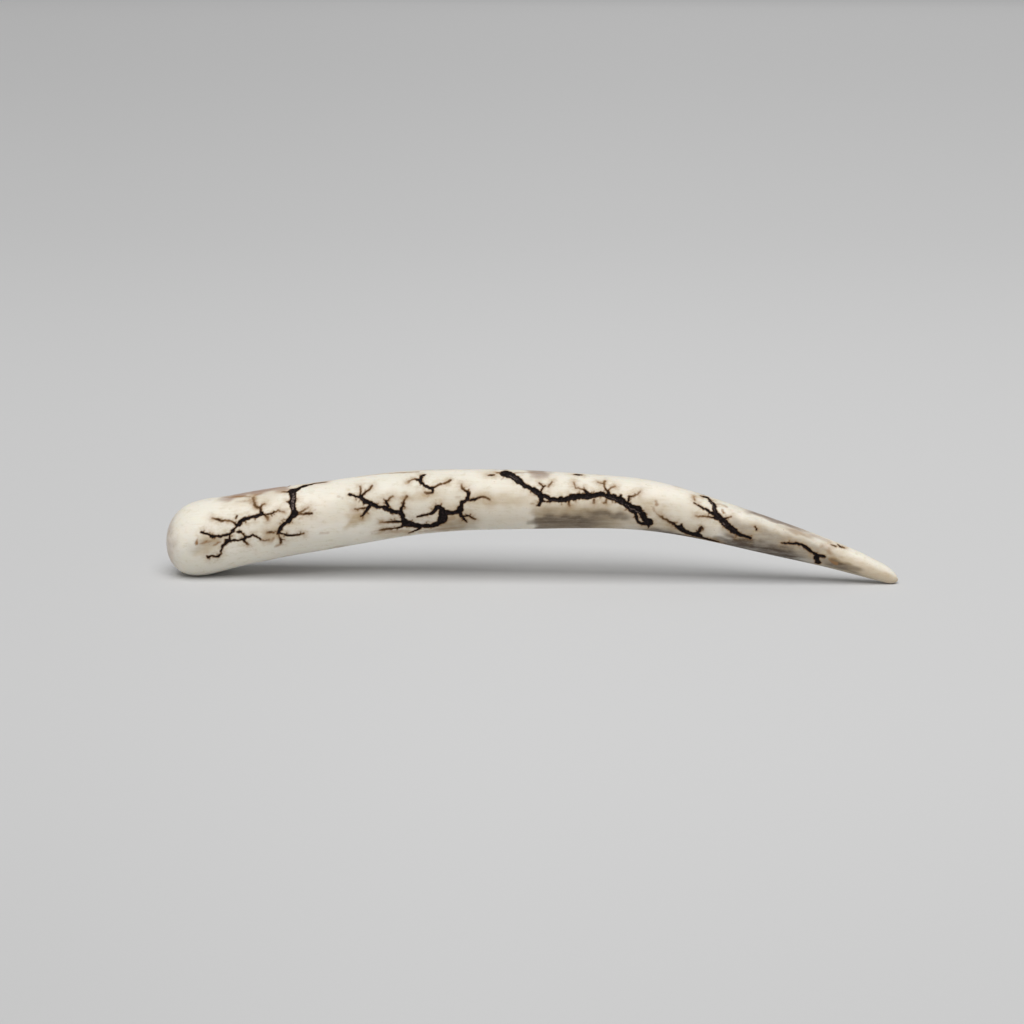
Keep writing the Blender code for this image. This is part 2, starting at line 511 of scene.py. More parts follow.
LONG_VEIN = (
    Vein(
        ((505, 473.4), (510, 474.7), (514, 477.2), (517.8, 479.9), (521.6, 483), (525, 485.6),
         (529.4, 487.4), (533, 489.6), (536.6, 491.8), (539.6, 494.6), (542, 497)),
        (5.4, 6.8, 7.2, 6.6, 4.8, 4.2, 5.2, 5.8, 6, 6, 5),
    ),
    Vein(((503.6, 472), (506.6, 471.8), (509.8, 472.2)), (2.4, 2.6, 2)),
    Vein(((504.2, 474), (503.4, 476.4)), (2.6, 1.6)),
    Vein(
        ((542, 496), (545.6, 496.6), (550, 498.6), (555, 499.8), (560, 499.8), (565, 499.2),
         (570, 498), (575, 496.8), (580, 496.1), (585, 496.2), (590, 495.7), (595, 495.2),
         (600, 494.4), (605, 494.8), (610, 496.6), (615, 498.4), (620, 500.4), (625, 503.4),
         (630, 506.9), (634, 509.8)),
        (5, 4, 4.4, 5, 5.1, 5.1, 5.6, 5.3, 5.3, 5.5, 6.3, 6.2, 5.4, 4.9, 6.2, 6, 7, 7, 7.2, 8.2),
    ),
    Vein(((541.4, 501.2), (546, 501.6), (551, 501.6)), (1.8, 1.3, 1.6)),
    Vein(((620.4, 497.6), (621, 495.4)), (3.4, 2)),
    Vein(
        ((634, 508.4), (639, 510.4), (642.2, 513.4), (644.2, 517.4), (647.6, 521), (650.6, 521)),
        (6.4, 5.8, 5.4, 5.4, 6, 3.4),
    ),
    Vein(
        ((635.4, 512.6), (636.6, 516.4), (637, 520.2), (639, 522.8), (642.4, 523.6), (646, 523.8),
         (649.4, 523)),
        (4.4, 3, 2.8, 3, 3, 4.4, 5),
    ),
    Vein(((640.6, 514.6), (643.4, 518.4)), (2.4, 2)),
    Vein(((648.6, 523.4), (648.2, 528.2)), (4.4, 1)),
    Vein(((501.6, 472.7), (497, 472.8)), (1.2, 0.8), (0.5, 0.3)),
    Vein(((488.6, 475.3), (491.6, 475.2), (494, 474.9)), (1, 1.8, 1.1), (0.5, 0.75, 0.5)),
    Vein(
        ((540.8, 491.6), (541.8, 489.4), (543.2, 487.3), (545.2, 485.8)),
        (2, 1.8, 2.6, 1.4),
        (0.8, 0.7, 0.9, 0.6),
    ),
    Vein(((542.8, 486.6), (541, 484.4), (539.4, 483.2)), (1.5, 1.2, 1.7), (0.75, 0.5, 0.55)),
    Vein(((548.5, 486.6), (550.5, 483.8), (552, 481.8)), (1.3, 1.4, 1.2), (0.3, 0.45, 0.35)),
    Vein(
        ((541, 498), (541, 501.4), (538.8, 503.8), (536.8, 505.6)),
        (4.6, 4.2, 3.4, 1.4),
        (1, 1, 0.95, 0.6),
    ),
    Vein(
        ((588, 493.2), (585, 491), (583.6, 489.2), (580, 488.6), (576, 487.6), (574.2, 485.4),
         (573.8, 482.2)),
        (3.8, 2.4, 1.5, 1, 1, 1.1, 0.8),
        (1, 0.9, 0.55, 0.32, 0.32, 0.3, 0.2),
    ),
    Vein(
        ((608.6, 493), (607.2, 491), (605.2, 488.8), (604, 485.4), (605, 481)),
        (3.2, 2.6, 1.7, 1.5, 1.4),
        (1, 0.8, 0.62, 0.45, 0.32),
    ),
    Vein(((604.2, 483.6), (598, 482.2)), (1.1, 0.8), (0.36, 0.2)),
    Vein(((608.4, 490.4), (611, 488), (615, 486.4)), (1.3, 1.2, 0.9), (0.5, 0.36, 0.25)),
    Vein(
        ((628.6, 500.6), (628.2, 497), (631.6, 496.8), (635, 495.6), (638, 494), (640.4, 491.4)),
        (3, 2.2, 1.4, 1.6, 1, 0.8),
        (1, 0.8, 0.6, 0.66, 0.38, 0.2),
    ),
    Vein(((568.6, 501.4), (569.4, 505.4)), (2, 1.8), (0.55, 0.25)),
    Vein(((594, 499.6), (594, 502.2)), (2.4, 2), (0.4, 0.25)),
    Vein(((606.4, 499.6), (605.6, 502), (603.6, 503)), (1.5, 1.7, 1.2), (0.5, 0.4, 0.3)),
    Vein(((574.4, 474.5), (577.6, 474.6), (581, 474.9)), (1, 2.2, 1), (0.4, 0.95, 0.45)),
)

LOWER_SPRIG = (
    Vein(
        ((659.6, 516), (662, 517.5), (664.6, 518.6), (668, 520.6), (671, 522.6), (674.6, 524.4),
         (677, 526.4), (680, 528), (684.6, 531), (689, 533), (694, 534.6), (698, 535.4)),
        (1.2, 1.9, 1.5, 2, 2.6, 3, 2.6, 5.4, 3.8, 4, 4.4, 4.4),
        (0.34, 0.45, 0.42, 0.55, 0.7, 0.8, 0.85, 1, 0.95, 0.9, 1, 1),
    ),
    Vein(((680.6, 527), (681.4, 524.8)), (4.4, 2.6)),
    Vein(
        ((697.4, 534), (699.4, 530.8), (701.2, 528), (702.8, 529.4)),
        (3.8, 3.6, 3.4, 1.6),
        (1, 0.8, 0.62, 0.4),
    ),
    Vein(
        ((698, 535.6), (701, 537), (706, 538.8), (712, 540.4), (718, 541.8)),
        (4.4, 3.2, 2.4, 2.2, 1.6),
        (1, 1, 0.95, 0.85, 0.6),
    ),
)

NECK_TREE = (
    Vein(
        ((701, 496), (704.4, 496.7), (708, 497.9), (709.6, 500), (711.6, 502.2), (713.6, 504.6),
         (714.6, 508), (715.2, 512), (717, 515.6)),
        (0.9, 1.8, 2.8, 2.6, 3.2, 3.8, 4, 5, 6),
        (0.4, 0.8, 0.9, 0.9, 1, 0.95, 0.95, 1, 1),
    ),
    Vein(
        ((717, 515.6), (721, 519.2), (724, 521.8), (727.2, 525.4), (731.4, 528.4), (735.4, 532),
         (739, 534.5), (743, 535.7), (747, 536.7), (750.2, 538.4)),
        (6, 5.6, 6, 6.6, 6.6, 5.4, 4.2, 3.4, 3, 3),
    ),
    Vein(
        ((694, 502.8), (697.6, 505), (702, 507.4), (706, 509.4), (710, 512), (713.4, 514.2)),
        (1.2, 1.7, 1.9, 2.2, 3, 4),
        (0.75, 0.8, 0.85, 0.95, 1, 1),
    ),
    Vein(
        ((696, 516), (702, 516.2), (708, 516.8), (713, 517.8), (718, 519.6)),
        (0.8, 1.1, 1.3, 1.7, 2.2),
        (0.2, 0.4, 0.55, 0.8, 0.95),
    ),
    Vein(((724, 520), (727, 518), (731, 516.6)), (2.4, 1.5, 1), (0.95, 0.7, 0.35)),
    Vein(((694.8, 500), (694, 496.4)), (0.9, 0.7), (0.25, 0.15)),
    Vein(((755.1, 526.6), (756.5, 529.8)), (1.6, 2.2), (0.85, 1)),
)

TIP_SPRIG = (
    Vein(
        ((781.6, 542.9), (787, 543.2), (793, 543.4), (798, 543.9), (803, 545.4), (806, 547.8),
         (809.6, 550.6), (813, 552.8), (817, 554.6), (821, 556.5), (824.6, 556.9)),
        (1.8, 1.8, 2.4, 2.4, 3, 3.8, 3.4, 3, 3.6, 4.4, 2.8),
    ),
    Vein(((816.4, 555.6), (817, 559), (817.8, 562.4)), (4.4, 5.8, 6.2), (1, 1, 0.85)),
    Vein(((831, 544.7), (835.6, 546.3)), (0.9, 1.2), (0.5, 0.65)),
    Vein(((838, 544.7), (840.6, 547), (844, 547.5)), (1, 1.6, 0.9), (0.6, 0.7, 0.4)),
)

PHOTO_VEINS = (
    *BUTT_TREE,
    *SADDLE_TREE,
    *SHAFT_TREE,
    *CROWN_SPRIG,
    *LONG_VEIN,
    *LOWER_SPRIG,
    *NECK_TREE,
    *TIP_SPRIG,
)

# The lighter lines inside the widest veins, where the burnt floor is ash
ASH_LINES = (
    Vein(((507, 473.2), (510.4, 475), (514, 477.8), (518, 481)), (0.8, 1.2, 1.5, 0.9)),
    Vein(((511, 472.6), (515, 475.6), (518.6, 478.6)), (0.5, 0.7)),
    Vein(((606, 496.4), (609, 496.9), (612, 497.6), (616.6, 500)), (0.6, 1, 1.3, 0.7)),
    Vein(
        ((620.6, 502.6), (626, 504.6), (631, 508.4), (635, 510.8), (640, 513.2)),
        (0.5, 0.9, 1.2, 1.4, 1),
    ),
    Vein(((722.6, 522.2), (724.4, 524.5), (726, 527)), (1.3, 1.6, 1.1)),
    Vein(((292.8, 492.4), (293.2, 498), (292.4, 503), (292.8, 509)), (2.4, 3.8, 3.4, 2)),
    Vein(((709.2, 499.4), (712.6, 503.4), (714.6, 508), (715.6, 512)), (1, 1.5, 1.7, 1)),
)

# Soft brown marks in the surface, off the veins
SMUDGES = (
    Vein(((249.5, 499.5), (251, 503.5)), (3.2, 3), (0.3, 0.3)),
    Vein(((254, 499), (256, 506), (261, 508.6)), (5, 5, 5), (0.25, 0.3, 0.2)),
    Vein(((265, 515), (269, 519.4)), (5, 4), (0.2, 0.2)),
    Vein(((226, 497.4), (241, 496.4), (250, 496.6)), (1.4, 2.4, 1.6), (0.4, 0.6, 0.45)),
    Vein(((236, 501.6), (244, 501.3), (252, 501.5)), (1.6, 2, 1.8), (0.15, 0.3, 0.3)),
    Vein(((255.6, 495), (262, 493)), (1.4, 1.2), (0.35, 0.2)),
    Vein(((338, 496.4), (339.5, 496.6)), (1.2,), (0.4,)),
    Vein(((342, 497.6), (343, 498.6)), (1.2,), (0.35,)),
    Vein(((320, 533.4), (328, 532.8)), (2,), (0.22,)),
    Vein(((352, 511), (360, 512.5), (368, 514)), (5, 6, 5), (0.1, 0.14, 0.1)),
    Vein(((354, 517), (362, 518.6)), (3, 3.5), (0.12, 0.16)),
    Vein(((312, 511.2), (315.8, 509.4)), (0.8, 1), (0.2, 0.25)),
    Vein(((298.6, 519.4), (302.4, 517.8)), (1, 1.2), (0.25, 0.35)),
    Vein(((280.2, 544.4), (277.6, 545.6), (275.2, 546.6)), (1.6, 2, 1.6), (0.5, 0.5, 0.4)),
    Vein(((273.6, 538), (272.3, 540.3)), (2.4, 1.8), (0.5, 0.4)),
    Vein(((196.6, 543.2), (196.6, 540.6), (197.6, 538.8)), (2.6, 2, 1.2), (0.8, 0.6, 0.3)),
    Vein(((200.6, 543.4), (206.2, 541.9), (210.4, 541.2)), (1.6, 2.2, 1.4), (0.4, 0.75, 0.5)),
    Vein(((213.6, 545.2), (217.5, 542.9), (220.4, 542.4)), (1.6, 2, 1.2), (0.5, 0.75, 0.5)),
    Vein(((380, 530.2), (369.6, 532.4)), (1.2, 0.9), (0.3, 0.12)),
    Vein(((428.8, 494.8), (427.8, 496.6)), (1.6, 1.8), (0.35, 0.25)),
    Vein(((504, 477), (501.6, 479.4)), (1.6, 1.6), (0.45, 0.3)),
    Vein(((534, 503.9), (531.4, 503.7)), (1.4, 2), (0.4, 0.4)),
    Vein(((583.8, 489), (583.6, 485.4)), (1, 0.8), (0.4, 0.2)),
    Vein(((655.7, 501.2), (656.7, 504.4)), (2.2, 2.8), (0.4, 0.5)),
    Vein(
        ((653.3, 507), (653.5, 510), (656, 512.6), (659, 515.4)),
        (1.5, 1.6, 1.1, 1.1),
        (0.4, 0.45, 0.4, 0.5),
    ),
    Vein(((673.4, 526.4), (671.6, 527)), (1.6, 1.2), (0.5, 0.35)),
    Vein(((722.4, 509.8), (723.8, 513)), (1.6, 1.9), (0.6, 0.85)),
    Vein(((725.8, 515.6), (725.6, 518.4)), (1, 1.2), (0.3, 0.5)),
    Vein(((820.6, 547), (822.6, 546.2)), (2, 1.6), (0.5, 0.6)),
    Vein(((822, 545), (829, 550.4), (834, 558)), (4, 5, 5), (0.12, 0.18, 0.16)),
    Vein(((829, 549.6), (829.6, 553)), (1.6, 2.2), (0.5, 0.6)),
    Vein(((829.4, 558.8), (832, 561.4), (836.4, 563.7)), (1.4, 2.2, 2.8), (0.5, 0.75, 0.85)),
    Vein(((514, 473), (523, 472.5), (531.4, 472.4)), (1.6, 1.4, 1.4), (0.4, 0.3, 0.2)),
    Vein(
        ((716, 504.2), (719, 504.2), (723, 505), (726.8, 507)),
        (1.2, 1.3, 1.4, 1.6),
        (0.4, 0.3, 0.25, 0.4),
    ),
    Vein(
        ((356, 476), (380, 474), (400, 472.6), (418, 471.8)),
        (1, 1.2, 1.4, 1.4),
        (0.2, 0.3, 0.45, 0.4),
    ),
    Vein(
        ((372, 533.8), (384, 532.4), (398, 531.4), (410, 531.6)),
        (2, 2.6, 2.6, 2),
        (0.12, 0.2, 0.25, 0.15),
    ),
    Vein(((331, 548.4), (338, 547), (346, 545.4)), (2.6, 3.4, 2.6), (0.12, 0.2, 0.12)),
    Vein(((396, 498.6), (404, 497.4), (412, 499.4)), (3, 4, 3.4), (0.1, 0.16, 0.1)),
    Vein(((456, 497.2), (460, 496.8)), (2,), (0.22,)),
    Vein(((447, 519.4), (453.6, 517.8)), (4,), (0.26,)),
    Vein(((420, 532.4), (440, 529.6), (462, 527.2)), (2, 2.4, 2), (0.2, 0.28, 0.14)),
)


class Tint(Enum):
    """A tint on the antler, by the name of the field that holds it; its patches are real stain, and
    painted shade on the underside.
    """

    SMOKE = "smoke_and_shade"
    OCHRE_AND_SHADE = "ochre_and_shade"
    ROSE = "rose"


@dataclass(frozen=True)
class StainAndShade:
    """A soft-edged patch of one tint, given along and around the tine."""

    tint: Tint
    along_mm: tuple[float, float]
    around_deg: tuple[float, float]
    strength: float
    soft_mm: tuple[float, float] = (2, 2)
    soft_deg: tuple[float, float] = (14, 14)

    def share(self, distance_mm: np.ndarray, degrees: np.ndarray) -> np.ndarray:
        """Gives the patch's strength at places on the skin.

        Args:
            distance_mm: distances along the tine.
            degrees: angles around it.

        Returns:
            The strength, 0 outside the patch.
        """
        (start, end), (fade_in, fade_out) = self.along_mm, self.soft_mm
        along = smoothstep(start - fade_in / 2, start + fade_in / 2, distance_mm)
        along = along * smoothstep(end + fade_out / 2, end - fade_out / 2, distance_mm)
        (low, high), (fade_low, fade_high) = self.around_deg, self.soft_deg
        middle, half = (low + high) / 2, (high - low) / 2
        turned = (degrees - middle + 180) % 360 - 180
        around = smoothstep(-half - fade_low / 2, -half + fade_low / 2, turned)
        around = around * smoothstep(half + fade_high / 2, half - fade_high / 2, turned)
        return self.strength * along * around


# Soft patches of tint along and around the tine: real stain, and painted shade along the underside
# from the long vein to the tip
STAINS_AND_SHADE = (
    # The smoky band under the long vein, crisp at its butt end
    StainAndShade(Tint.OCHRE_AND_SHADE, (76.2, 94), (182, 256), 0.6, (2, 8), (26, 12)),
    StainAndShade(Tint.SMOKE, (75.6, 94), (184, 256), 0.28, (1.6, 9), (24, 12)),
    StainAndShade(Tint.SMOKE, (75.6, 89.5), (205, 250), 0.66, (1.6, 6), (12, 20)),
    StainAndShade(Tint.SMOKE, (78.6, 88), (205, 222), 0.3, (2, 5), (8, 12)),
    StainAndShade(Tint.SMOKE, (87, 95), (190, 205), 0.62, (4, 3), (10, 10)),
    StainAndShade(Tint.SMOKE, (79.6, 86), (198, 210), 0.34, (3, 4), (10, 10)),
    # The lower edge from the long vein to the tip: brown stain, and a dark band along the underside
    # edge that is painted shade
    StainAndShade(Tint.SMOKE, (97, 118), (226, 262), 0.44, (8, 4), (20, 12)),
    StainAndShade(Tint.OCHRE_AND_SHADE, (97, 110), (200, 245), 0.3, (5, 5), (20, 14)),
    StainAndShade(Tint.SMOKE, (99, 118), (237, 300), 0.9, (8, 6), (8, 30)),
    StainAndShade(Tint.SMOKE, (116, 143), (242, 300), 0.45, (8, 8), (10, 30)),
    # The neck: a smoky stain, darkest below, where it is also painted shade of the underside
    StainAndShade(Tint.SMOKE, (114.5, 136), (150, 290), 0.5, (5, 6), (30, 30)),
    StainAndShade(Tint.OCHRE_AND_SHADE, (115.5, 134), (138, 215), 0.34, (5, 8), (34, 30)),
    StainAndShade(Tint.OCHRE_AND_SHADE, (127, 132), (114, 134), 0.45, (4, 4), (14, 14)),
    StainAndShade(Tint.ROSE, (127, 132), (114, 130), 0.42, (4, 4), (12, 12)),
    StainAndShade(Tint.SMOKE, (119, 137), (114, 160), 0.14, (5, 6), (16, 20)),
    StainAndShade(Tint.SMOKE, (115.8, 120.6), (198, 230), 0.97, (2.2, 2.4), (10, 18)),
    StainAndShade(Tint.SMOKE, (116.6, 120.4), (198, 222), 0.7, (2, 2), (8, 10)),
    StainAndShade(Tint.SMOKE, (113.2, 117), (214, 234), 0.4, (2, 2), (10, 12)),
    StainAndShade(Tint.SMOKE, (113, 118), (218, 290), 0.7, (2, 4), (12, 20)),
    StainAndShade(Tint.SMOKE, (118.5, 129.4), (204, 290), 0.68, (4, 5), (20, 30)),
    StainAndShade(Tint.SMOKE, (122.5, 128.5), (192, 240), 0.6, (2, 3), (16, 20)),
    # The tip: brown and smoky stain, darker and warmer towards the underside, where it is also
    # painted shade
    StainAndShade(Tint.SMOKE, (134.8, 141.6), (186, 236), 0.75, (3, 5), (20, 24)),
    StainAndShade(Tint.OCHRE_AND_SHADE, (135, 152), (148, 300), 0.5, (6, 2), (50, 30)),
    StainAndShade(Tint.OCHRE_AND_SHADE, (135.6, 141), (180, 216), 0.6, (3, 4), (16, 24)),
    # The stripe over the neck's top edge, and the patch on the shaft's
    StainAndShade(Tint.SMOKE, (119.5, 130), (70, 111), 0.55, (4, 4), (20, 8)),
    StainAndShade(Tint.ROSE, (118.5, 131), (70, 112), 0.5, (4, 5), (22, 8)),
    StainAndShade(Tint.ROSE, (131.6, 136), (98, 120), 0.45, (2, 2), (10, 10)),
    StainAndShade(Tint.SMOKE, (75, 78.6), (60, 108), 0.28, (3, 3), (16, 20)),
    StainAndShade(Tint.ROSE, (74.4, 79), (60, 116), 0.62, (3, 3), (16, 20)),
    # The butt's top edge, end and lower side
    StainAndShade(Tint.ROSE, (12, 25.5), (69, 106), 0.84, (4, 2), (22, 12)),
    StainAndShade(Tint.OCHRE_AND_SHADE, (13, 24), (96, 130), 0.22, (4, 3), (12, 16)),
    StainAndShade(Tint.ROSE, (-1, 2.4), (100, 235), 0.42, (1, 3), (30, 30)),
    StainAndShade(Tint.SMOKE, (6.5, 13.4), (171, 188), 0.2, (3, 3), (12, 12)),
    StainAndShade(Tint.OCHRE_AND_SHADE, (8, 12.6), (163, 196), 0.5, (3, 3), (14, 12)),
    StainAndShade(Tint.OCHRE_AND_SHADE, (21, 24.5), (172, 198), 0.4, (2, 2), (14, 14)),
    # Faint clouds along the shaft
    StainAndShade(Tint.SMOKE, (46, 54), (182, 216), 0.09, (5, 5), (14, 16)),
    StainAndShade(Tint.OCHRE_AND_SHADE, (18, 56), (138, 184), 0.15, (14, 14), (40, 20)),
    StainAndShade(Tint.OCHRE_AND_SHADE, (56, 112), (138, 232), 0.2, (14, 8), (50, 36)),
    StainAndShade(Tint.OCHRE_AND_SHADE, (38.2, 42), (173, 196), 0.62, (2, 3), (14, 14)),
    StainAndShade(Tint.OCHRE_AND_SHADE, (43, 52), (222, 241), 0.35, (5, 5), (10, 10)),
    StainAndShade(Tint.OCHRE_AND_SHADE, (50, 57.5), (150, 164), 0.35, (4, 4), (10, 10)),
    StainAndShade(Tint.OCHRE_AND_SHADE, (57, 62), (180, 246), 0.5, (4, 5), (30, 12)),
    StainAndShade(Tint.SMOKE, (55, 63), (206, 246), 0.32, (5, 5), (16, 12)),
    StainAndShade(Tint.OCHRE_AND_SHADE, (64, 74.6), (156, 182), 0.35, (6, 3), (16, 16)),
    StainAndShade(Tint.OCHRE_AND_SHADE, (65, 69), (100, 122), 0.25, (4, 3), (14, 14)),
    StainAndShade(Tint.OCHRE_AND_SHADE, (97, 102), (150, 186), 0.3, (4, 4), (16, 16)),
)


@dataclass
class Strand:
    """A vein as it lies on the skin: a place, half width and darkness at each point."""

    places: np.ndarray
    halves: np.ndarray
    dark: np.ndarray


@dataclass
class SkinGuide:
    """The smooth skin before it is burnt, on which veins are laid and grown."""

    tree: BVHTree
    form: TineForm
    camera: StudioCamera
    shift: Vector

    def nearest(self, place: Vector) -> tuple[Vector, Vector]:
        """Gives the nearest place on the skin, and its outward direction."""
        found, normal, _, _ = self.tree.find_nearest(place)
        return found, normal

    def seen(self, pixel: tuple[float, float]) -> Vector:
        """Gives the place on the skin that a pixel of the photograph shows.

        Args:
            pixel: the pixel, which may lie just outside the tine's outline.

        Returns:
            The place, or the nearest one on the skin where the sight line misses it.
        """
        start, way = self.camera.place(), self.camera.sight_line(pixel)
        found, _, _, _ = self.tree.ray_cast(start, way)
        if found is None:
            depth = -start.y / way.y
            found, _ = self.nearest(start + way * depth)
        return found

    def in_view(self, place: Vector) -> bool:
        """Tells whether a place on the skin faces the camera."""
        return self.nearest(place)[1].dot(self.camera.place() - place) > 0

    def at(self, along_mm: float, around_deg: float) -> Vector:
        """Gives the place on the skin at a distance along it and an angle around it."""
        point = self.form.surface(np.array([along_mm * MM]), np.array([math.radians(around_deg)]))
        return self.nearest(Vector(point[0]) + self.shift)[0]


@dataclass(frozen=True)
class SpurSizes:
    """The short thorns on a vein's sides, each range with its least and its greatest."""

    least_dark: float = 0.6
    angle_deg: tuple[float, float] = (40, 90)
    reach_mm: tuple[float, float] = (0.12, 0.5)
    half_mm: tuple[float, float] = (0.06, 0.11)
    wander_deg: float = 12
    point_width: float = 0.3
    point_dark: float = 0.55


@dataclass(frozen=True)
class TreeSizes:
    """A grown vein and its branches, whose reach and width are shares of its own."""

    wander_deg: float = 15
    least_points: int = 3
    # Shares of a vein's length, and its width at each
    taper_at: tuple[float, ...] = (0, 0.75, 1)
    taper: tuple[float, ...] = (1, 0.65, 0.3)
    # It is fully dark up to the middle value, and a twig pales towards its end
    fade_at: tuple[float, ...] = (0, 0.6, 1)
    twig_end_dark: float = 0.5
    # The points before the first branch and between branches: the least, and how many
    # numbers there are to pick from
    first_branch: tuple[int, int] = (3, 3)
    next_branch: tuple[int, int] = (4, 6)
    branch_deg: tuple[float, float] = (32, 72)
    branch_reach: tuple[float, float] = (0.22, 0.5)
    branch_width: tuple[float, float] = (0.5, 0.75)
    least_half: float = 0.1 * MM


@dataclass
class VeinGrower:
    """Lays the drawn veins on the skin, and grows spurs and whole trees of its own."""

    guide: SkinGuide
    spur: SpurSizes = SpurSizes()
    branching: TreeSizes = TreeSizes()
    seed: int = 11
    step: float = 0.45 * MM
    least_strides: int = 3
    waver: float = 0.06 * MM
    rough_width: float = 0.13
    width_limits: tuple[float, float] = (0.6, 1.4)
    least_seen: float = 0.4
    # How much each stride of a walk keeps of the last one, and how much it takes of the aim
    keeps_way: float = 0.8
    takes_aim: float = 0.2
    rng: random.Random = field(init=False)

    def __post_init__(self) -> None:
        """Seeds the grower's own random numbers."""
        self.rng = random.Random(self.seed)

    def lay(self, vein: Vein) -> Strand:
        """Lays a drawn vein on the skin, with a smooth run and slightly uneven sides.

        Args:
            vein: the vein as drawn.

        Returns:
            The strand on the skin.
        """
        knots = [self.guide.seen(point) for point in vein.points]
        camera = self.guide.camera
        pixel = camera.sensor_mm / camera.lens_mm / PHOTO_SIDE_PX * camera.distance
        gaps = [(b - a).length for a, b in zip(knots, knots[1:])]
        walked = np.concatenate([[0], np.cumsum(gaps)])
        count = max(2, round(walked[-1] / self.step) + 1)
        shares = np.linspace(0, 1, count)
        table = np.array(knots)
        along = shares * walked[-1]
        places = np.column_stack([self.curve(walked, column, along) for column in table.T])
        halves = self.spread(vein.widths, walked, shares) * pixel / 2
        halves = halves / self.foreshortening(places)
        return self.settle(places, halves, self.spread(vein.dark, walked, shares))

    def foreshortening(self, places: np.ndarray) -> np.ndarray:
        """Measures how narrow a strand looks where the skin turns away from the camera.

        Args:
            places: the strand's points.

        Returns:
            The seen share of its width at each point, no less than least_seen.
        """
        seen = []
        for place, run in zip(places, np.gradient(places, axis=0)):
            normal = self.guide.nearest(Vector(place))[1]
            across = normal.cross(Vector(run).normalized()).normalized()
            sight = (self.guide.camera.place() - Vector(place)).normalized()
            seen.append(math.sqrt(max(0.0, 1 - across.dot(sight) ** 2)))
        return np.maximum(seen, self.least_seen)

    @staticmethod
    def spread(values: tuple[float, ...], walked: np.ndarray, shares: np.ndarray) -> np.ndarray:
        """Spreads values along a vein, one to each of its points where there are as many.

        Args:
            values: the widths or the darkness.
            walked: the way walked at each of the vein's points.
            shares: where the values are read, as shares of the whole way.

        Returns:
            The value at each share.
        """
        even = np.linspace(0, 1, len(values))
        knots = walked / walked[-1] if len(values) == len(walked) else even
        return np.interp(shares, knots, values)

    @staticmethod
    def curve(walked: np.ndarray, knots: np.ndarray, at: np.ndarray) -> np.ndarray:
        """Reads a smooth run through knots, each of whose slopes is that between its neighbours.

        Args:
            walked: the way walked at each knot.
            knots: one coordinate of each knot.
            at: where along the way it is read.

        Returns:
            The coordinate at each place.
        """
        if len(knots) < 3:
            return np.interp(at, walked, knots)
        slopes = np.gradient(knots, walked)
        i = np.clip(np.searchsorted(walked, at) - 1, 0, len(walked) - 2)
        gap = walked[i + 1] - walked[i]
        t = (at - walked[i]) / gap
        start = knots[i] * (1 + 2 * t) * (1 - t) ** 2 + knots[i + 1] * t * t * (3 - 2 * t)
        return start + gap * t * (1 - t) * (slopes[i] * (1 - t) - slopes[i + 1] * t)

    def settle(self, places: np.ndarray, halves: np.ndarray, dark: np.ndarray) -> Strand:
        """Wavers a strand sideways a little, and puts every point back on the skin.

        Args:
            places: its points.
            halves: its half width at each point.
            dark: its darkness at each point.

        Returns:
            The strand.
        """
        settled = []
        for i, place in enumerate(places):
            offset = Vector([self.rng.gauss(0, self.waver) for _ in range(3)])
            inner = 0 < i < len(places) - 1
            settled.append(self.guide.nearest(Vector(place) + offset * inner)[0])
        rough = np.array([self.rng.gauss(1, self.rough_width) for _ in places])
        return Strand(np.array(settled), halves * np.clip(rough, *self.width_limits), dark)

    def walk(
        self, place: Vector, heading: Vector, length: float, wander_deg: float
    ) -> list[Vector]:
        """Walks over the skin, with the heading wandering at each step.

        Args:
            place: where the walk starts.
            heading: the direction in which it sets out.
            length: how far it goes.
            wander_deg: how far the heading strays at each step.

        Returns:
            The places walked through, the start among them.
        """
        stride = min(self.step, length / self.least_strides)
        walked = [place]
        aim = heading.normalized()
        way = aim
        for _ in range(round(length / stride)):
            place, normal = self.guide.nearest(place + way * stride)
            turned = Matrix.Rotation(math.radians(self.rng.gauss(0, wander_deg)), 3, normal) @ way
            way = turned * self.keeps_way + aim * self.takes_aim
            way = (way - normal * way.dot(normal)).normalized()
            aim = (aim - normal * aim.dot(normal)).normalized()
            walked.append(place)
        return walked

    def side_way(self, strand: Strand, i: int, angles_deg: tuple[float, float]) -> Vector:
        """Picks a direction off a strand, to either side of its run.

        Args:
            strand: the strand that is left.
            i: the point at which it is left.
            angles_deg: the least and the greatest angle to the run.

        Returns:
            The direction, along the skin.
        """
        run = Vector(strand.places[min(i + 1, len(strand.places) - 1)] - strand.places[i - 1])
        normal = self.guide.nearest(Vector(strand.places[i]))[1]
        angle = self.rng.uniform(*angles_deg) * self.rng.choice((-1, 1))
        return (Matrix.Rotation(math.radians(angle), 3, normal) @ run).normalized()

    def spurs(self, strand: Strand, chance: float) -> list[Strand]:
        """Grows short thorns from a strand's sides.

        Args:
            strand: the strand that bears them.
            chance: how likely a thorn is at each point.

        Returns:
            The thorns.
        """
        sizes = self.spur
        grown = []
        for i in range(1, len(strand.places) - 1):
            if self.rng.random() > chance or strand.dark[i] < sizes.least_dark:
                continue
            way = self.side_way(strand, i, sizes.angle_deg)
            length = strand.halves[i] + self.rng.uniform(*sizes.reach_mm) * MM
            places = np.array(self.walk(Vector(strand.places[i]), way, length, sizes.wander_deg))
            taper = np.linspace(1, sizes.point_width, len(places))
            fade = np.linspace(1, sizes.point_dark, len(places))
            half = min(strand.halves[i], self.rng.uniform(*sizes.half_mm) * MM)
            grown.append(Strand(places, half * taper, strand.dark[i] * fade))
        return grown

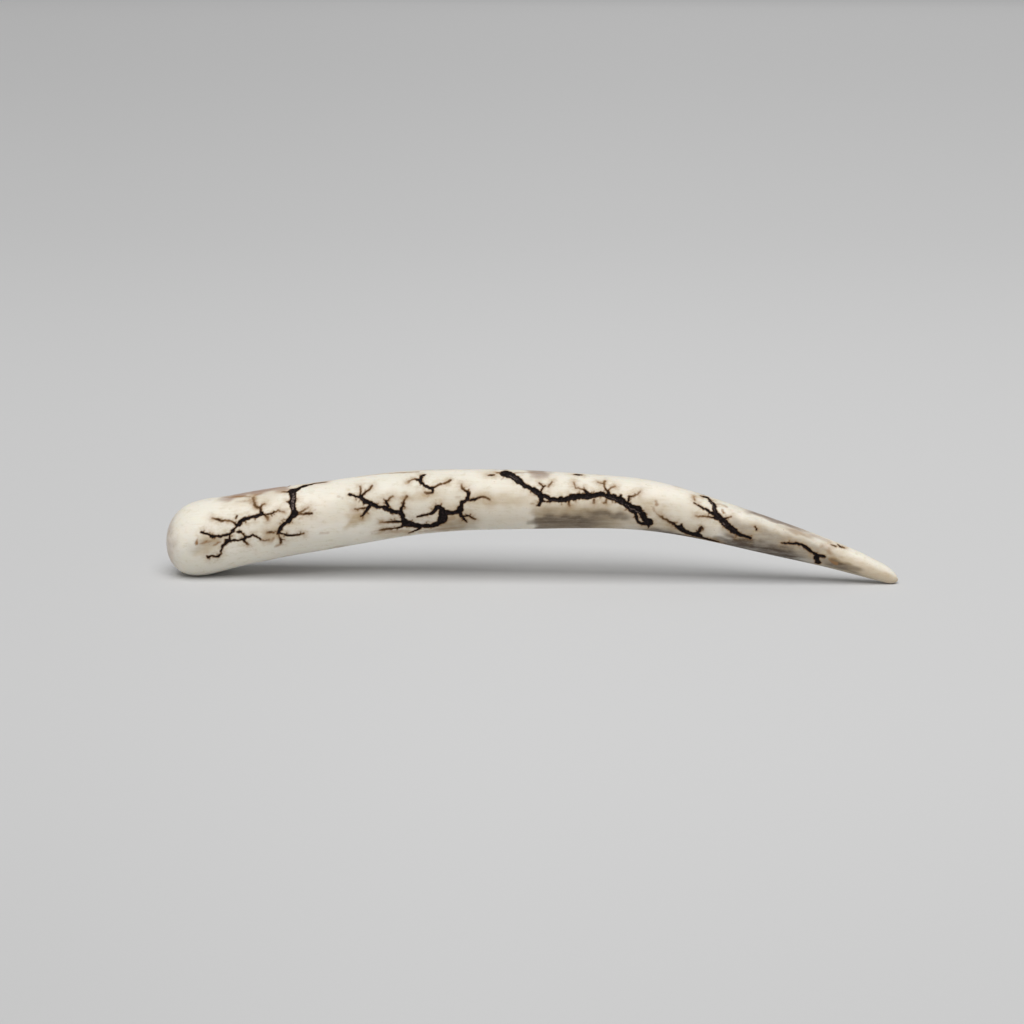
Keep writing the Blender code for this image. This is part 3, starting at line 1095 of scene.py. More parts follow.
    def tree(
        self, place: Vector, heading: Vector, length: float, half: float, depth: int
    ) -> list[Strand]:
        """Grows a vein and its branches over the skin.

        Args:
            place: where it starts.
            heading: the direction in which it sets out.
            length: how far its trunk runs.
            half: the trunk's half width at its start.
            depth: how many times it may branch again.

        Returns:
            The trunk and all its branches.
        """
        sizes = self.branching
        walked = self.walk(place, heading, length, sizes.wander_deg)
        start = sizes.least_points
        seen = [i for i in range(start, len(walked)) if self.guide.in_view(walked[i])]
        places = np.array(walked[: seen[0]] if seen else walked)
        shares = np.linspace(0, 1, len(places))
        taper = np.interp(shares, sizes.taper_at, sizes.taper)
        end_dark = 1 if depth > 1 else sizes.twig_end_dark
        dark = np.interp(shares, sizes.fade_at, (1, 1, end_dark))
        trunk = self.settle(places, half * taper, dark)
        grown = [trunk]
        i = self.points_on(sizes.first_branch)
        while depth and i < len(places) - 1:
            way = self.side_way(trunk, i, sizes.branch_deg)
            if self.guide.in_view(Vector(trunk.places[i]) + way * MM):
                i += 1
                continue
            reach = length * self.rng.uniform(*sizes.branch_reach)
            thin = max(trunk.halves[i] * self.rng.uniform(*sizes.branch_width), sizes.least_half)
            grown += self.tree(Vector(trunk.places[i]), way, reach, thin, depth - 1)
            i += self.points_on(sizes.next_branch)
        return grown

    def points_on(self, gap: tuple[int, int]) -> int:
        """Picks the number of points to the next branch, from the least number upward."""
        return gap[0] + self.rng.randrange(gap[1])


@dataclass(frozen=True)
class HiddenTree:
    """A vein tree on a side that the photograph doesn't show: its start, aim and size."""

    along_mm: float
    around_deg: float
    toward: tuple[float, float]
    length_mm: float
    width_mm: float
    depth: int = 2


HIDDEN_TREES = (
    # Those that go on from veins which cross the top edge
    HiddenTree(25.2, 84, (21, 30), 17, 1.3),
    HiddenTree(69.6, 82, (60, 20), 24, 1.5),
    HiddenTree(110, 80, (104, 20), 14, 0.9),
    HiddenTree(84.2, 78, (88, 20), 15, 0.8),
    HiddenTree(52, 78, (46, 30), 9, 0.6),
    # Those that start on the back
    HiddenTree(40, 40, (52, -10), 17, 0.9),
    HiddenTree(8, 50, (14, -30), 14, 0.9),
    HiddenTree(97, 30, (84, -40), 15, 1.0),
    HiddenTree(118, 20, (130, -20), 12, 0.7),
    # Those on the underside
    HiddenTree(30, -75, (16, -50), 13, 0.7),
    HiddenTree(58, -60, (72, -75), 15, 0.9),
    HiddenTree(103, -84, (116, -70), 13, 0.8),
    HiddenTree(96, -95, (82, -60), 10, 0.6),
    HiddenTree(134, 60, (126, 10), 7, 0.5),
)


@dataclass
class MarkField:
    """What the veins do to the skin at each place: the burnt channels and their scorch."""

    strands: list[Strand]
    far: float = 2 * MM
    blend: float = 0.16 * MM
    dark_reach: float = 0.12 * MM
    scorch_reach: float = 0.6 * MM
    # The scorch beside any vein, and how much more there is beside the faintest
    scorch: float = 0.30
    faint_scorch: float = 0.95
    # What keeps a place far from any vein, and a stretch of no length, from dividing by 0
    least_weight: float = 1e-9
    least_square: float = 1e-18

    def read(self, places: np.ndarray) -> dict[str, np.ndarray]:
        """Reads the fields at places on the skin.

        Args:
            places: one place a row.

        Returns:
            By name: edge, the distance outside the nearest vein's edge, negative inside
            it; dark, how black the burn is there; and scorch, how browned the antler is.
        """
        order = np.argsort(places[:, 0])
        sorted_places = places[order]
        x = sorted_places[:, 0]
        edge = np.full(len(x), self.far)
        scorch = np.zeros(len(x))
        weights = np.full(len(x), self.least_weight)
        darks = np.zeros(len(x))
        for strand in self.strands:
            margin = self.far + strand.halves.max()
            low = np.searchsorted(x, strand.places[:, 0].min() - margin)
            high = np.searchsorted(x, strand.places[:, 0].max() + margin)
            if low == high:
                continue
            gap, dark = self.nearest_stretch(sorted_places[low:high], strand)
            old = edge[low:high]
            pull = np.clip(0.5 + 0.5 * (old - gap) / self.blend, 0, 1)
            edge[low:high] = old * (1 - pull) + gap * pull - self.blend * pull * (1 - pull)
            outside = np.maximum(gap, 0)
            weight = np.exp(-outside / self.dark_reach)
            weights[low:high] += weight
            darks[low:high] += weight * dark
            glow = self.scorch + self.faint_scorch * (1 - dark)
            glow = glow * np.exp(-outside / self.scorch_reach)
            scorch[low:high] = np.maximum(scorch[low:high], glow)
        fields = {"edge": edge, "dark": darks / weights, "scorch": scorch}
        back = np.empty_like(order)
        back[order] = np.arange(len(order))
        return {name: values[back] for name, values in fields.items()}

    def nearest_stretch(
        self, places: np.ndarray, strand: Strand
    ) -> tuple[np.ndarray, np.ndarray]:
        """Measures the gap from places to a strand's side.

        Args:
            places: one place a row.
            strand: the strand, as tapering stretches between its points.

        Returns:
            The gap to the nearest stretch, negative inside it, and the darkness there.
        """
        best = np.full(len(places), np.inf)
        dark = np.zeros(len(places))
        for i in range(len(strand.places) - 1):
            start, way = strand.places[i], strand.places[i + 1] - strand.places[i]
            square = max(float(way @ way), self.least_square)
            share = np.clip((places - start) @ way / square, 0, 1)
            away = np.linalg.norm(places - start - share[:, None] * way, axis=1)
            half = strand.halves[i] + share * (strand.halves[i + 1] - strand.halves[i])
            nearer = away - half < best
            best = np.where(nearer, away - half, best)
            here = strand.dark[i] + share * (strand.dark[i + 1] - strand.dark[i])
            dark = np.where(nearer, here, dark)
        return best, dark


class NoiseLayer(Enum):
    """Where each use of the noise reads it, so that no two uses run alike."""

    RAGGED = 0
    CHAR = 7
    STRAY_ALONG = 20
    STRAY_AROUND = 40


@dataclass
class TineSkin:
    """The tine's skin as one closed mesh, with the veins burnt into it."""

    form: TineForm
    camera: StudioCamera
    segments: int = 76
    rings: int = 284
    # How near the ball's axis a vertex counts as its pole
    on_axis: float = 1e-5
    # How likely a spur is at each point of a drawn vein, and of one on the hidden sides
    drawn_spurs: float = 0.34
    hidden_spurs: float = 0.22
    near_edge: float = 0.42 * MM
    at_edge: float = 0.17 * MM
    channel_depth: float = 0.26 * MM
    channel_reach: float = 0.42 * MM
    # A burn fainter than the first value is no channel, and one past the second a full one
    channel_dark: tuple[float, float] = (0.1, 0.6)
    char_reach: float = 0.1 * MM
    char_relief: float = 0.035 * MM
    char_grain: float = 0.35 * MM
    ragged: float = 0.11 * MM
    ragged_grain: float = 0.4 * MM
    smudge_fade: float = 0.2 * MM
    # Rod space is turned into millimetres around as well as along, to read a noise there
    stretch: tuple[float, float, float] = (1, 5 * MM, 5 * MM)
    # How the tints' patches stray at their edges, the painted shade among them
    stain_and_shade_grain: float = 1.8 * MM
    stain_and_shade_stray: float = 1.6
    stain_and_shade_stray_deg: float = 9.0

    def build(self) -> bpy.types.Object:
        """Models the skin, its channels and its fields.

        Returns:
            The finished skin, at the origin.
        """
        skin = self.rod_ball()
        shift = self.place_shift(skin)
        guide = self.guide(skin, shift)
        strands, ash, soft = self.veins(guide)
        marks, smudges = MarkField(strands), MarkField(soft)
        for reach, read in ((self.near_edge, (marks, smudges)), (self.at_edge, (marks,))):
            places = self.wrapped(self.points(skin), shift)
            gaps = [np.abs(marked.read(places)["edge"]) for marked in read]
            self.divide_near(skin, np.min(gaps, axis=0) < reach)
        rod = self.points(skin)
        places = self.wrapped(rod, shift)
        fields = marks.read(places)
        ragged = self.noise_at(places, self.ragged_grain, NoiseLayer.RAGGED)
        fields["edge"] = fields["edge"] + ragged * self.ragged
        fields["ash"] = -MarkField(ash).read(places)["edge"]
        soft_fields = smudges.read(places)
        shown = smoothstep(self.smudge_fade, -self.smudge_fade, soft_fields["edge"])
        fields["smudge"] = soft_fields["dark"] * shown
        self.set_points(skin, places)
        self.burn(skin, places, fields["edge"], fields["dark"])
        self.store(skin, rod, fields)
        bpy.ops.object.shade_smooth()
        skin.name = "antler_skin"
        return skin

    def rod_ball(self) -> bpy.types.Object:
        """Adds a ball and lays it out in rod space: the distance, then the section's circle.

        Returns:
            The rod, whose ends close at its axis.
        """
        for shown in list(bpy.context.selected_objects):
            shown.select_set(False)
        bpy.ops.mesh.primitive_uv_sphere_add(
            segments=self.segments,
            ring_count=self.rings,
            radius=1,
            rotation=(0, math.pi / 2, 0),
        )
        bpy.ops.object.transform_apply(location=False, rotation=True, scale=False)
        rod = bpy.context.object
        ball = self.points(rod)
        share = np.arccos(np.clip(-ball[:, 0], -1, 1)) / math.pi
        around = np.hypot(ball[:, 1], ball[:, 2])
        on_axis = around < self.on_axis
        around[on_axis] = 1
        circle = ball[:, 1:] / around[:, None] * ~on_axis[:, None]
        self.set_points(rod, np.column_stack([self.form.outline_distances(share), circle]))
        return rod

    @staticmethod
    def points(piece: bpy.types.Object) -> np.ndarray:
        """Reads a mesh's vertices.

        Args:
            piece: the object that holds the mesh.

        Returns:
            The vertices, one a row.
        """
        found = np.empty(len(piece.data.vertices) * 3)
        piece.data.vertices.foreach_get("co", found)
        return found.reshape(-1, 3)

    @staticmethod
    def set_points(piece: bpy.types.Object, points: np.ndarray) -> None:
        """Moves a mesh's vertices to these points."""
        piece.data.vertices.foreach_set("co", points.ravel())
        piece.data.update()

    def wrapped(self, rod: np.ndarray, shift: Vector) -> np.ndarray:
        """Carries points of rod space to the smooth skin.

        Args:
            rod: the points in rod space.
            shift: how the skin is placed over the solid.

        Returns:
            Their places on the skin.
        """
        places = self.form.surface(rod[:, 0], np.arctan2(rod[:, 2], rod[:, 1]))
        return places + np.array(shift)

    def place_shift(self, rod: bpy.types.Object) -> Vector:
        """Finds the shift that centres the skin over the solid's box.

        Args:
            rod: the mesh in rod space.

        Returns:
            The sideways shift.
        """
        places = self.wrapped(self.points(rod), Vector())
        low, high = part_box(NODE)
        middle = (places.min(axis=0) + places.max(axis=0)) / 2
        return Vector(((low.x + high.x) / 2 - middle[0], (low.y + high.y) / 2 - middle[1], 0))

    def guide(self, rod: bpy.types.Object, shift: Vector) -> SkinGuide:
        """Makes the guide on which the veins are laid, from the rod wrapped smooth.

        Args:
            rod: the mesh in rod space.
            shift: how the skin is placed over the solid.

        Returns:
            The guide.
        """
        places = self.wrapped(self.points(rod), shift)
        faces = [tuple(face.vertices) for face in rod.data.polygons]
        tree = BVHTree.FromPolygons([Vector(place) for place in places], faces)
        return SkinGuide(tree, self.form, self.camera, shift)

    def veins(self, guide: SkinGuide) -> tuple[list[Strand], list[Strand], list[Strand]]:
        """Lays the drawn veins, and grows their spurs and the trees on the hidden sides.

        Args:
            guide: the smooth skin.

        Returns:
            The burnt strands, the ash lines and the smudges.
        """
        grower = VeinGrower(guide)
        strands = [grower.lay(vein) for vein in PHOTO_VEINS]
        for strand in list(strands):
            strands += grower.spurs(strand, self.drawn_spurs)
        drawn = len(strands)
        for hidden in HIDDEN_TREES:
            start = guide.at(hidden.along_mm, hidden.around_deg)
            heading = guide.at(*hidden.toward) - start
            size = hidden.length_mm * MM, hidden.width_mm * MM / 2
            for strand in grower.tree(start, heading, *size, hidden.depth):
                strands += [strand] + grower.spurs(strand, self.hidden_spurs)
        LOG.info("veins: %d strands in view, %d on the hidden sides", drawn, len(strands) - drawn)
        ash, soft = ([grower.lay(vein) for vein in table] for table in (ASH_LINES, SMUDGES))
        return strands, ash, soft

    @staticmethod
    def divide_near(skin: bpy.types.Object, near: np.ndarray) -> None:
        """Divides every face that has a vertex near a mark's edge.

        Args:
            skin: the mesh.
            near: for each vertex, whether it is near.
        """
        mesh = skin.data
        for elements in (mesh.vertices, mesh.edges):
            elements.foreach_set("select", np.zeros(len(elements), bool))
        chosen = [any(near[list(face.vertices)]) for face in mesh.polygons]
        mesh.polygons.foreach_set("select", chosen)
        bpy.context.tool_settings.mesh_select_mode = (False, False, True)
        bpy.ops.object.mode_set(mode="EDIT")
        bpy.ops.mesh.subdivide(number_cuts=1, ngon=False, quadcorner="INNERVERT")
        bpy.ops.object.mode_set(mode="OBJECT")

    @staticmethod
    def noise_at(places: np.ndarray, grain: float, layer: NoiseLayer) -> np.ndarray:
        """Reads a smooth noise of about -1 to 1, of the grain's size, at each place."""
        away = Vector((layer.value, 0, 0))
        return np.array([noise.noise(Vector(place) / grain + away) for place in places])

    def burn(
        self, skin: bpy.types.Object, places: np.ndarray, edge: np.ndarray, dark: np.ndarray
    ) -> None:
        """Sinks the veins into the skin, with a rough floor.

        Args:
            skin: the smooth mesh.
            places: its vertices.
            edge: each vertex's distance from the nearest vein's edge.
            dark: how black the burn is there, as a faint one is no channel.
        """
        normals = np.empty(len(places) * 3)
        skin.data.vertices.foreach_get("normal", normals)
        inside = smoothstep(0, self.channel_reach, -edge) * smoothstep(*self.channel_dark, dark)
        rough = self.noise_at(places, self.char_grain, NoiseLayer.CHAR) * self.char_relief
        depth = self.channel_depth * inside + rough * smoothstep(0, self.char_reach, -edge)
        sunk = places - normals.reshape(-1, 3) * depth[:, None]
        sunk[:, 2] = np.maximum(sunk[:, 2], 0)
        self.set_points(skin, sunk)

    def store(self, skin: bpy.types.Object, rod: np.ndarray, fields: dict[str, np.ndarray]) -> None:
        """Writes the fields that the finish reads, in millimetres where they are lengths.

        Args:
            skin: the mesh.
            rod: its vertices in rod space.
            fields: the fields of the veins.
        """
        spread = rod * self.stretch
        strayed = self.noise_at(spread, self.stain_and_shade_grain, NoiseLayer.STRAY_ALONG)
        turned = self.noise_at(spread, self.stain_and_shade_grain, NoiseLayer.STRAY_AROUND)
        along = rod[:, 0] / MM + strayed * self.stain_and_shade_stray
        degrees = np.degrees(np.arctan2(rod[:, 2], rod[:, 1])) + turned * self.stain_and_shade_stray_deg
        made = {name: fields[name] / MM for name in ("edge", "ash")}
        made |= {name: fields[name] for name in ("dark", "scorch", "smudge")}
        # Each tint's share, from its patches: real stain, and painted shade on the underside
        for tint in Tint:
            shares = [s.share(along, degrees) for s in STAINS_AND_SHADE if s.tint is tint]
            made[tint.value] = 1 - np.prod([1 - share for share in shares], axis=0)
        for name, values in made.items():
            layer = skin.data.attributes.new(name, "FLOAT", "POINT")
            layer.data.foreach_set("value", values.astype(np.float32))


Value = Union["Wire", float, tuple[float, ...]]
Colour = tuple[float, float, float, float]


@dataclass(frozen=True)
class Grain:
    """A noise: its cells to a millimetre along the tine and across it, and how fine it is."""

    along: float
    across: float
    detail: float = 2
    roughness: float = 0.5


@dataclass
class Wire:
    """A value in a finish's node tree, on which sums are written as in Python."""

    graph: "Graph"
    socket: bpy.types.NodeSocket

    def maths(self, operation: str, *others: Value) -> "Wire":
        """Takes this value and the others through a Math node."""
        return self.graph.node("ShaderNodeMath", {"operation": operation}, (self, *others))

    def __add__(self, other: Value) -> "Wire":
        """Adds a value."""
        return self.maths("ADD", other)

    def __radd__(self, other: Value) -> "Wire":
        """Adds itself to a value."""
        return self.maths("ADD", other)

    def __sub__(self, other: Value) -> "Wire":
        """Takes a value away."""
        return self.maths("SUBTRACT", other)

    def __rsub__(self, other: Value) -> "Wire":
        """Is taken from a value."""
        return self.graph.node("ShaderNodeMath", {"operation": "SUBTRACT"}, (other, self))

    def __mul__(self, other: Value) -> "Wire":
        """Multiplies by a value."""
        return self.maths("MULTIPLY", other)

    def __rmul__(self, other: Value) -> "Wire":
        """Multiplies a value."""
        return self.maths("MULTIPLY", other)

    def __truediv__(self, other: Value) -> "Wire":
        """Divides by a value."""
        return self.maths("DIVIDE", other)

    def ramp(self, low: float, high: float) -> "Wire":
        """Rises smoothly from 0 at low to 1 at high, or falls where low is the larger.

        Args:
            low: the value that gives 0.
            high: the value that gives 1.

        Returns:
            The eased share, between 0 and 1.
        """
        if low > high:
            return 1 - self.ramp(high, low)
        settings = {"interpolation_type": "SMOOTHSTEP"}
        inputs = {"Value": self, "From Min": low, "From Max": high}
        return self.graph.node("ShaderNodeMapRange", settings, inputs)

    def scaled(self, factors: tuple[float, float, float]) -> "Wire":
        """Multiplies a vector, axis by axis."""
        return self.graph.node("ShaderNodeVectorMath", {"operation": "MULTIPLY"}, (self, factors))


@dataclass
class Graph:
    """A material's node tree, with one method that adds any node."""

    material: bpy.types.Material

    def node(self, kind: str, settings: dict[str, Any], inputs: Any, output: Any = 0) -> Wire:
        """Adds a node.

        Args:
            kind: the node's type.
            settings: its own properties.
            inputs: values or links, by socket name or in the order of the sockets.
            output: the output that is wanted, by name or number.

        Returns:
            The output's wire.
        """
        made = self.material.node_tree.nodes.new(kind)
        for name, setting in settings.items():
            setattr(made, name, setting)
        named = inputs.items() if isinstance(inputs, dict) else enumerate(inputs)
        for key, value in named:
            self.feed(made.inputs[key], value)
        return Wire(self, made.outputs[output])

    def feed(self, socket: bpy.types.NodeSocket, value: Value) -> None:
        """Links a wire to a socket, or sets the socket to a number or a colour."""
        if isinstance(value, Wire):
            self.material.node_tree.links.new(value.socket, socket)
        else:
            socket.default_value = value

    def attribute(self, name: str) -> Wire:
        """Reads one of the mesh's fields."""
        return self.node("ShaderNodeAttribute", {"attribute_name": name}, {}, "Fac")

    def noise(self, place: Wire, grain: Grain) -> Wire:
        """Reads a noise of 0 to 1.

        Args:
            place: the place in millimetres.
            grain: the noise's size and fineness.

        Returns:
            The reading.
        """
        at = place.scaled((grain.along, grain.across, grain.across))
        inputs = {"Vector": at, "Scale": 1, "Detail": grain.detail, "Roughness": grain.roughness}
        return self.node("ShaderNodeTexNoise", {}, inputs, "Fac")

    def mix(self, share: Value, first: Value, second: Value) -> Wire:
        """Mixes two colours."""
        settings = {"data_type": "RGBA", "clamp_factor": True}
        return self.node("ShaderNodeMix", settings, {0: share, 6: first, 7: second}, 2)


@dataclass(frozen=True)
class Span:
    """A share of a reading: where it starts, where it is full, and how strong it is there."""

    start: float
    full: float
    strength: float = 1

    def of(self, reading: Wire) -> Wire:
        """Gives the share for a reading."""
        return reading.ramp(self.start, self.full) * self.strength


@dataclass(frozen=True)
class AntlerFinish:
    """Polished antler with burnt veins: ivory, grain, pores, stain, painted shade on the underside,
    scorch and char.
    """

    ivory: Colour = (0.83, 0.785, 0.69, 1)
    cool: Colour = (0.77, 0.735, 0.64, 1)
    pale: Colour = (0.88, 0.85, 0.78, 1)
    straw: Colour = (0.66, 0.56, 0.39, 1)
    olive: Colour = (0.61, 0.55, 0.40, 1)
    haze: Colour = (0.50, 0.40, 0.235, 1)
    # The smoky and the brown tint below give real stain, and also painted shade on the underside
    # towards the tip
    smoke_and_shade: Colour = (0.085, 0.058, 0.038, 1)
    ochre_and_shade: Colour = (0.42, 0.285, 0.12, 1)
    rose: Colour = (0.32, 0.20, 0.15, 1)
    scorched: Colour = (0.34, 0.19, 0.075, 1)
    rust: Colour = (0.30, 0.165, 0.07, 1)
    tan: Colour = (0.19, 0.11, 0.05, 1)
    umber: Colour = (0.060, 0.027, 0.012, 1)
    char: Colour = (0.007, 0.0045, 0.004, 1)
    ash: Colour = (0.16, 0.12, 0.105, 1)
    soot: Colour = (0.030, 0.018, 0.019, 1)

    # The noises in the bone, beside the veins and in the veins
    drift: Grain = Grain(0.06, 0.16)
    growth: Grain = Grain(0.16, 2.4, 4, 0.62)
    mottle: Grain = Grain(0.55, 0.9, 5, 0.68)
    streak: Grain = Grain(0.11, 1.3, 4, 0.6)
    pores: Grain = Grain(2.2, 7)
    specks: Grain = Grain(2.5, 4, 1)
    cloud: Grain = Grain(0.8, 1.1, 4, 0.6)
    grit: Grain = Grain(3.5, 4.5, 3, 0.65)
    fray: Grain = Grain(9, 9, 3, 0.6)
    speckle: Grain = Grain(5, 5)
    flakes: Grain = Grain(2.2, 2.2, 3, 0.6)
    # Those in the gloss and the relief, on the bone and on the char
    gloss: Grain = Grain(0.5, 3, 3)
    polish: Grain = Grain(1.2, 5)
    crust: Grain = Grain(6, 6, 3)

    # Where each layer of colour lies: on a noise or a field, or, where its name says near,
    # on the distance outside a vein's edge in millimetres
    cool_on: Span = Span(0.35, 0.7)
    pale_on: Span = Span(0.55, 0.8, 0.5)
    straw_on: Span = Span(0.48, 0.25, 0.35)
    olive_on: Span = Span(0.52, 0.74, 0.5)
    pores_on: Span = Span(0.66, 0.80, 0.25)
    specks_on: Span = Span(0.765, 0.80, 0.55)
    haze_near: Span = Span(1.9, 0.1)
    haze_on: Span = Span(0.42, 0.72, 0.5)
    rim_near: Span = Span(0.24, 0.0)
    rim_on: Span = Span(-0.1, 0.5)
    burnt_near: Span = Span(0.05, -0.04)
    burnt_on: Span = Span(0.0, 0.45)
    deep_near: Span = Span(0.02, -0.14)
    umber_on: Span = Span(0.2, 0.65)
    char_on: Span = Span(0.5, 0.92)
    soot_on: Span = Span(0.5, 0.62, 0.7)
    soot_deep: Span = Span(0.6, 1)
    ash_on: Span = Span(-0.05, 0.12)
    ash_flakes: Span = Span(0.4, 0.62, 0.8)

    # What a tint's patch, stain and painted shade alike, the haze, a smudge and the rim hold
    # everywhere, and what noises add
    stain_and_shade_parts: tuple[float, float, float] = (0.35, 0.75, 0.55)
    haze_parts: tuple[float, float] = (0.2, 1.6)
    smudge_parts: tuple[float, float] = (0.55, 0.9)
    rim_parts: tuple[float, float] = (0.3, 0.7)
    # What the clouds and the grit give the scorch, and how strong scorch and smudges are
    scorch_parts: tuple[float, float] = (0.9, 0.7)
    scorch_strength: float = 0.85
    smudge_strength: float = 1.6
    # How far the edge frays, in millimetres, and how much speckle is in the burn and the ash
    fray_mm: float = 0.12
    deep_speckle: float = 0.35
    ash_speckle: float = 0.25
    ash_least: float = 0.12

    def build(self) -> bpy.types.Material:
        """Builds the material.

        Returns:
            The material.
        """
        material = bpy.data.materials.new(SLOT)
        material.use_nodes = True
        graph = Graph(material)
        place = graph.node("ShaderNodeTexCoord", {}, {}, "Object").scaled((1 / MM,) * 3)
        edge = graph.attribute("edge") + (graph.noise(place, self.fray) - 0.5) * self.fray_mm
        burnt_through = self.burnt_near.of(edge) * self.burnt_on.of(graph.attribute("dark"))
        polished = {
            "Base Color": self.browned(graph, place, self.bone(graph, place), edge),
            "Roughness": 0.40 + 0.10 * graph.noise(place, self.gloss),
            "Normal": self.bump(graph, graph.noise(place, self.polish), 0.015),
            "Specular IOR Level": 0.35,
            "Subsurface Weight": 0.4,
            "Subsurface Radius": (1.0, 0.75, 0.5),
            "Subsurface Scale": 3 * MM,
        }
        burnt = {
            "Base Color": self.vein(graph, place, edge),
            "Roughness": 0.62,
            "Normal": self.bump(graph, graph.noise(place, self.crust), 0.08),
            "Specular IOR Level": 0.08,
        }
        shaders = [graph.node("ShaderNodeBsdfPrincipled", {}, look) for look in (polished, burnt)]
        mixed = graph.node("ShaderNodeMixShader", {}, (burnt_through, *shaders))
        output = material.node_tree.get_output_node("ALL")
        graph.feed(output.inputs["Surface"], mixed)
        return material

    @staticmethod
    def bump(graph: Graph, height: Wire, rise_mm: float) -> Wire:
        """Turns a height of 0 to 1 into a normal, given the rise that it stands for."""
        inputs = {"Strength": 1, "Distance": rise_mm * MM, "Height": height}
        return graph.node("ShaderNodeBump", {}, inputs)

    def bone(self, graph: Graph, place: Wire) -> Wire:
        """Colours the antler itself: drifting ivory, grain, pores, stain, and painted shade on the
        underside towards the tip.

        Args:
            graph: the node tree.
            place: the place in millimetres.

        Returns:
            The colour.
        """
        growth = graph.noise(place, self.growth)
        mottle = graph.noise(place, self.mottle)
        colour = graph.mix(self.cool_on.of(graph.noise(place, self.drift)), self.ivory, self.cool)
        colour = graph.mix(self.pale_on.of(growth), colour, self.pale)
        colour = graph.mix(self.straw_on.of(growth), colour, self.straw)
        colour = graph.mix(self.olive_on.of(mottle), colour, self.olive)
        even, streaky, mottled = self.stain_and_shade_parts
        uneven = even + streaky * graph.noise(place, self.streak) + mottled * mottle
        # Lays the tints over the ivory: real stain, and painted shade on the underside towards the
        # tip
        stains_and_shade = ((Tint.OCHRE_AND_SHADE, self.ochre_and_shade), (Tint.ROSE, self.rose), (Tint.SMOKE, self.smoke_and_shade))
        for tint, stain_and_shade_colour in stains_and_shade:
            colour = graph.mix(graph.attribute(tint.value) * uneven, colour, stain_and_shade_colour)
        pores = self.pores_on.of(graph.noise(place, self.pores))
        specks = self.specks_on.of(graph.noise(place, self.specks))
        return graph.mix(pores + specks, colour, self.tan)

    def browned(self, graph: Graph, place: Wire, bone: Wire, edge: Wire) -> Wire:
        """Browns the antler beside the veins.

        Args:
            graph: the node tree.
            place: the place in millimetres.
            bone: the antler's own colour.
            edge: the distance outside a vein's edge, in millimetres.

        Returns:
            The colour.
        """
        cloud = graph.noise(place, self.cloud)
        grit = graph.noise(place, self.grit)
        haze, smudge, rim = (
            even + gritty * grit
            for even, gritty in (self.haze_parts, self.smudge_parts, self.rim_parts)
        )
        near = self.haze_near.of(edge) * self.haze_on.of(cloud)
        colour = graph.mix(near * haze, bone, self.haze)
        cloudy, gritty = self.scorch_parts
        scorch = graph.attribute("scorch") * (cloud * cloudy + grit * gritty)
        colour = graph.mix(scorch * self.scorch_strength, colour, self.scorched)
        smudged = graph.attribute("smudge") * smudge
        colour = graph.mix(smudged * self.smudge_strength, colour, self.rust)
        rimmed = self.rim_near.of(edge) * self.rim_on.of(graph.attribute("dark"))
        return graph.mix(rimmed * rim, colour, self.tan)

    def vein(self, graph: Graph, place: Wire, edge: Wire) -> Wire:
        """Colours the veins, tan where the burn is light and black where it is deep.

        Args:
            graph: the node tree.
            place: the place in millimetres.
            edge: the distance outside a vein's edge, in millimetres.

        Returns:
            The colour.
        """
        speckle = graph.noise(place, self.speckle) - 0.5
        deep = self.deep_near.of(edge) * graph.attribute("dark") + speckle * self.deep_speckle
        colour = graph.mix(self.umber_on.of(deep), self.tan, self.umber)
        colour = graph.mix(self.char_on.of(deep), colour, self.char)
        flakes = graph.noise(place, self.flakes)
        colour = graph.mix(self.soot_on.of(flakes) * self.soot_deep.of(deep), colour, self.soot)
        ash = graph.attribute("ash") + speckle * self.ash_speckle
        broken = self.ash_least + self.ash_flakes.of(flakes)
        return graph.mix(self.ash_on.of(ash) * broken, colour, self.ash)


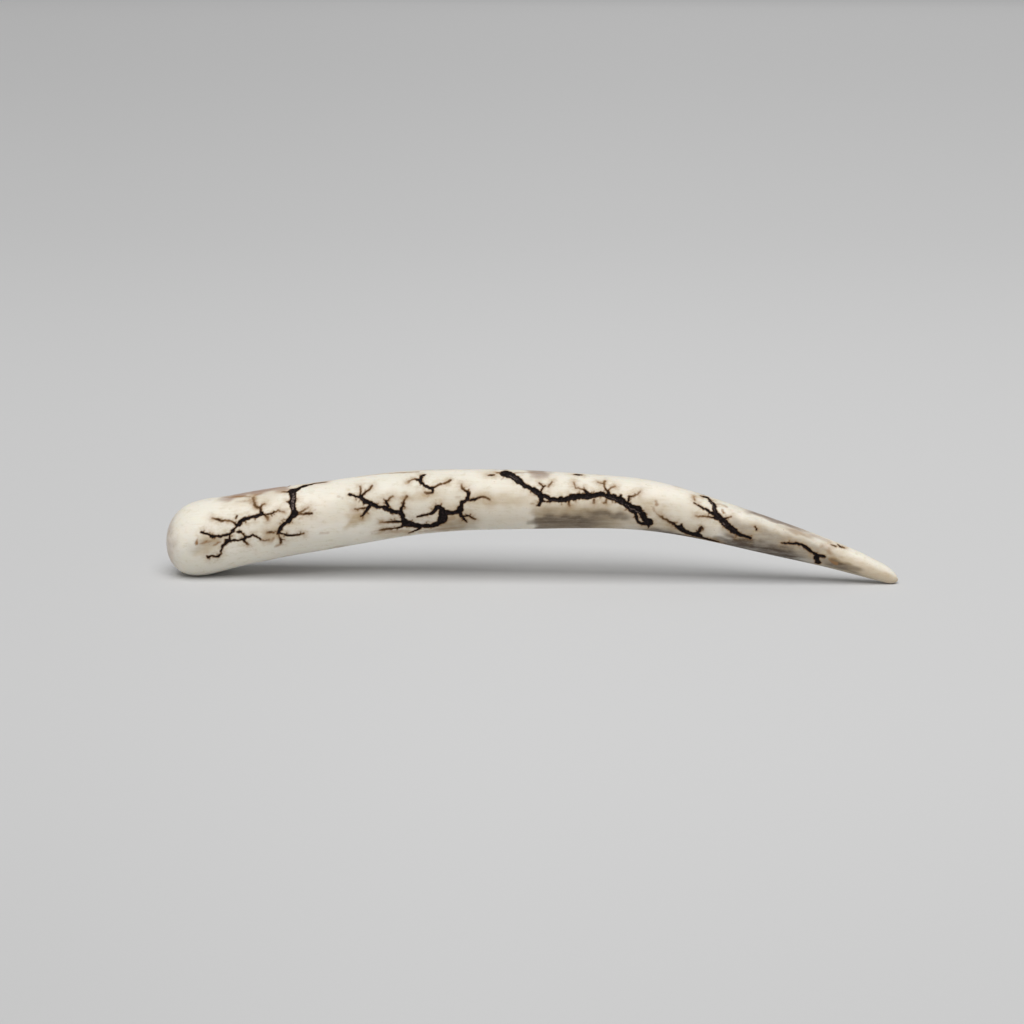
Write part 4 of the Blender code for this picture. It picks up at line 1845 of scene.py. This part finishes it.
@dataclass(frozen=True)
class PaperFinish:
    """Matt pale paper with painted light and shade: its tone is made a little lighter and darker to
    the back, the front and one side.
    """

    tone: float = 0.62
    # Painted light and shade: the drift's share of the tone, and where it starts and ends, in
    # metres behind the tine
    painted_light_back: tuple[tuple[float, float, float], ...] = (
        (-0.065, 0.1, 0.7),
        (0.8, 0.5, 7.0),
        (-0.085, -0.08, -0.28),
    )
    # The same painted light and shade towards the side, as metres sideways for each metre from the
    # viewer
    painted_light_side: tuple[tuple[float, float, float], ...] = (
        (-0.065, 0.03, -0.26),
        (-0.01, 0.08, 0.28),
    )
    # How far in front of the tine the viewer stands, in metres
    viewer: float = 0.48
    roughness: float = 0.9
    specular: float = 0.1

    def build(self) -> bpy.types.Material:
        """Builds the material.

        Returns:
            The material.
        """
        material = bpy.data.materials.new("floor_paper")
        material.use_nodes = True
        shader = material.node_tree.nodes["Principled BSDF"]
        graph = Graph(material)
        place = graph.node("ShaderNodeTexCoord", {}, {}, "Object")
        sideways = graph.node("ShaderNodeSeparateXYZ", {}, (place,), "X")
        back = graph.node("ShaderNodeSeparateXYZ", {}, (place,), "Y")
        side = sideways / (back + self.viewer)
        # Painted light and shade: the tone is darkened and lightened towards the back, the front
        # and the side
        tone = self.drift(back, self.painted_light_back) * self.drift(side, self.painted_light_side) * self.tone
        colour = graph.mix(tone, (0, 0, 0, 1), (1, 1, 1, 1))
        graph.feed(shader.inputs["Base Color"], colour)
        shader.inputs["Roughness"].default_value = self.roughness
        shader.inputs["Specular IOR Level"].default_value = self.specular
        return material

    @staticmethod
    def drift(along: Wire, bands: tuple[tuple[float, float, float], ...]) -> Wire:
        """Gives the factor by which painted light and shade change the tone one way."""
        return 1 + sum(share * along.ramp(low, high) for share, low, high in bands)


@dataclass(frozen=True)
class Studio:
    """The plain floor and the soft light over it."""

    floor_side: float = 24.0
    world_strength: float = 0.26
    # Each soft light's name, power, tilt from overhead towards the viewer, distance and size
    lights: tuple[tuple[str, float, float, float, tuple[float, float]], ...] = (
        ("key", 385.0, 24.5, 6.0, (6.0, 5.8)),
        ("fill", 14.0, 74.0, 5.0, (5.0, 2.0)),
    )

    def build_floor(self) -> bpy.types.Object:
        """Lays the floor on the rest plane.

        Returns:
            The floor.
        """
        bpy.ops.mesh.primitive_plane_add(size=self.floor_side)
        floor = bpy.context.object
        floor.name = "studio_floor"
        floor.data.materials.append(PaperFinish().build())
        return floor

    def build_light(self) -> None:
        """Lights the scene with an even grey surround and large soft lights."""
        world = bpy.data.worlds.new("studio")
        world.use_nodes = True
        world.node_tree.nodes["Background"].inputs["Strength"].default_value = self.world_strength
        world.node_tree.nodes["Background"].inputs["Color"].default_value = (1, 1, 1, 1)
        bpy.context.scene.world = world
        for name, power, tilt_deg, distance, size in self.lights:
            data = bpy.data.lights.new(name, "AREA")
            data.shape = "RECTANGLE"
            data.size, data.size_y = size
            data.energy = power
            tilt = math.radians(tilt_deg)
            light = bpy.data.objects.new(name, data)
            light.location = Vector((0, -math.sin(tilt), math.cos(tilt))) * distance
            light.rotation_euler = (tilt, 0, 0)
            bpy.context.scene.collection.objects.link(light)


def main() -> None:
    """Builds the tine, its finish and the studio round it."""
    logging.basicConfig(level=logging.INFO, format="%(name)s: %(message)s")
    camera = StudioCamera()
    skin = TineSkin(TineForm(), camera).build()
    skin.data.materials.append(AntlerFinish().build())
    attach(skin, "root")
    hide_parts(NODE)
    skin.data.calc_loop_triangles()
    LOG.info("skin: %d triangles", len(skin.data.loop_triangles))
    studio = Studio()
    studio.build_floor()
    studio.build_light()
    LOG.info("studio: floor, surround and %d soft lights", len(studio.lights))
    camera.build()
    bpy.context.scene.view_settings.view_transform = "Standard"


if __name__ == "__main__":
    main()
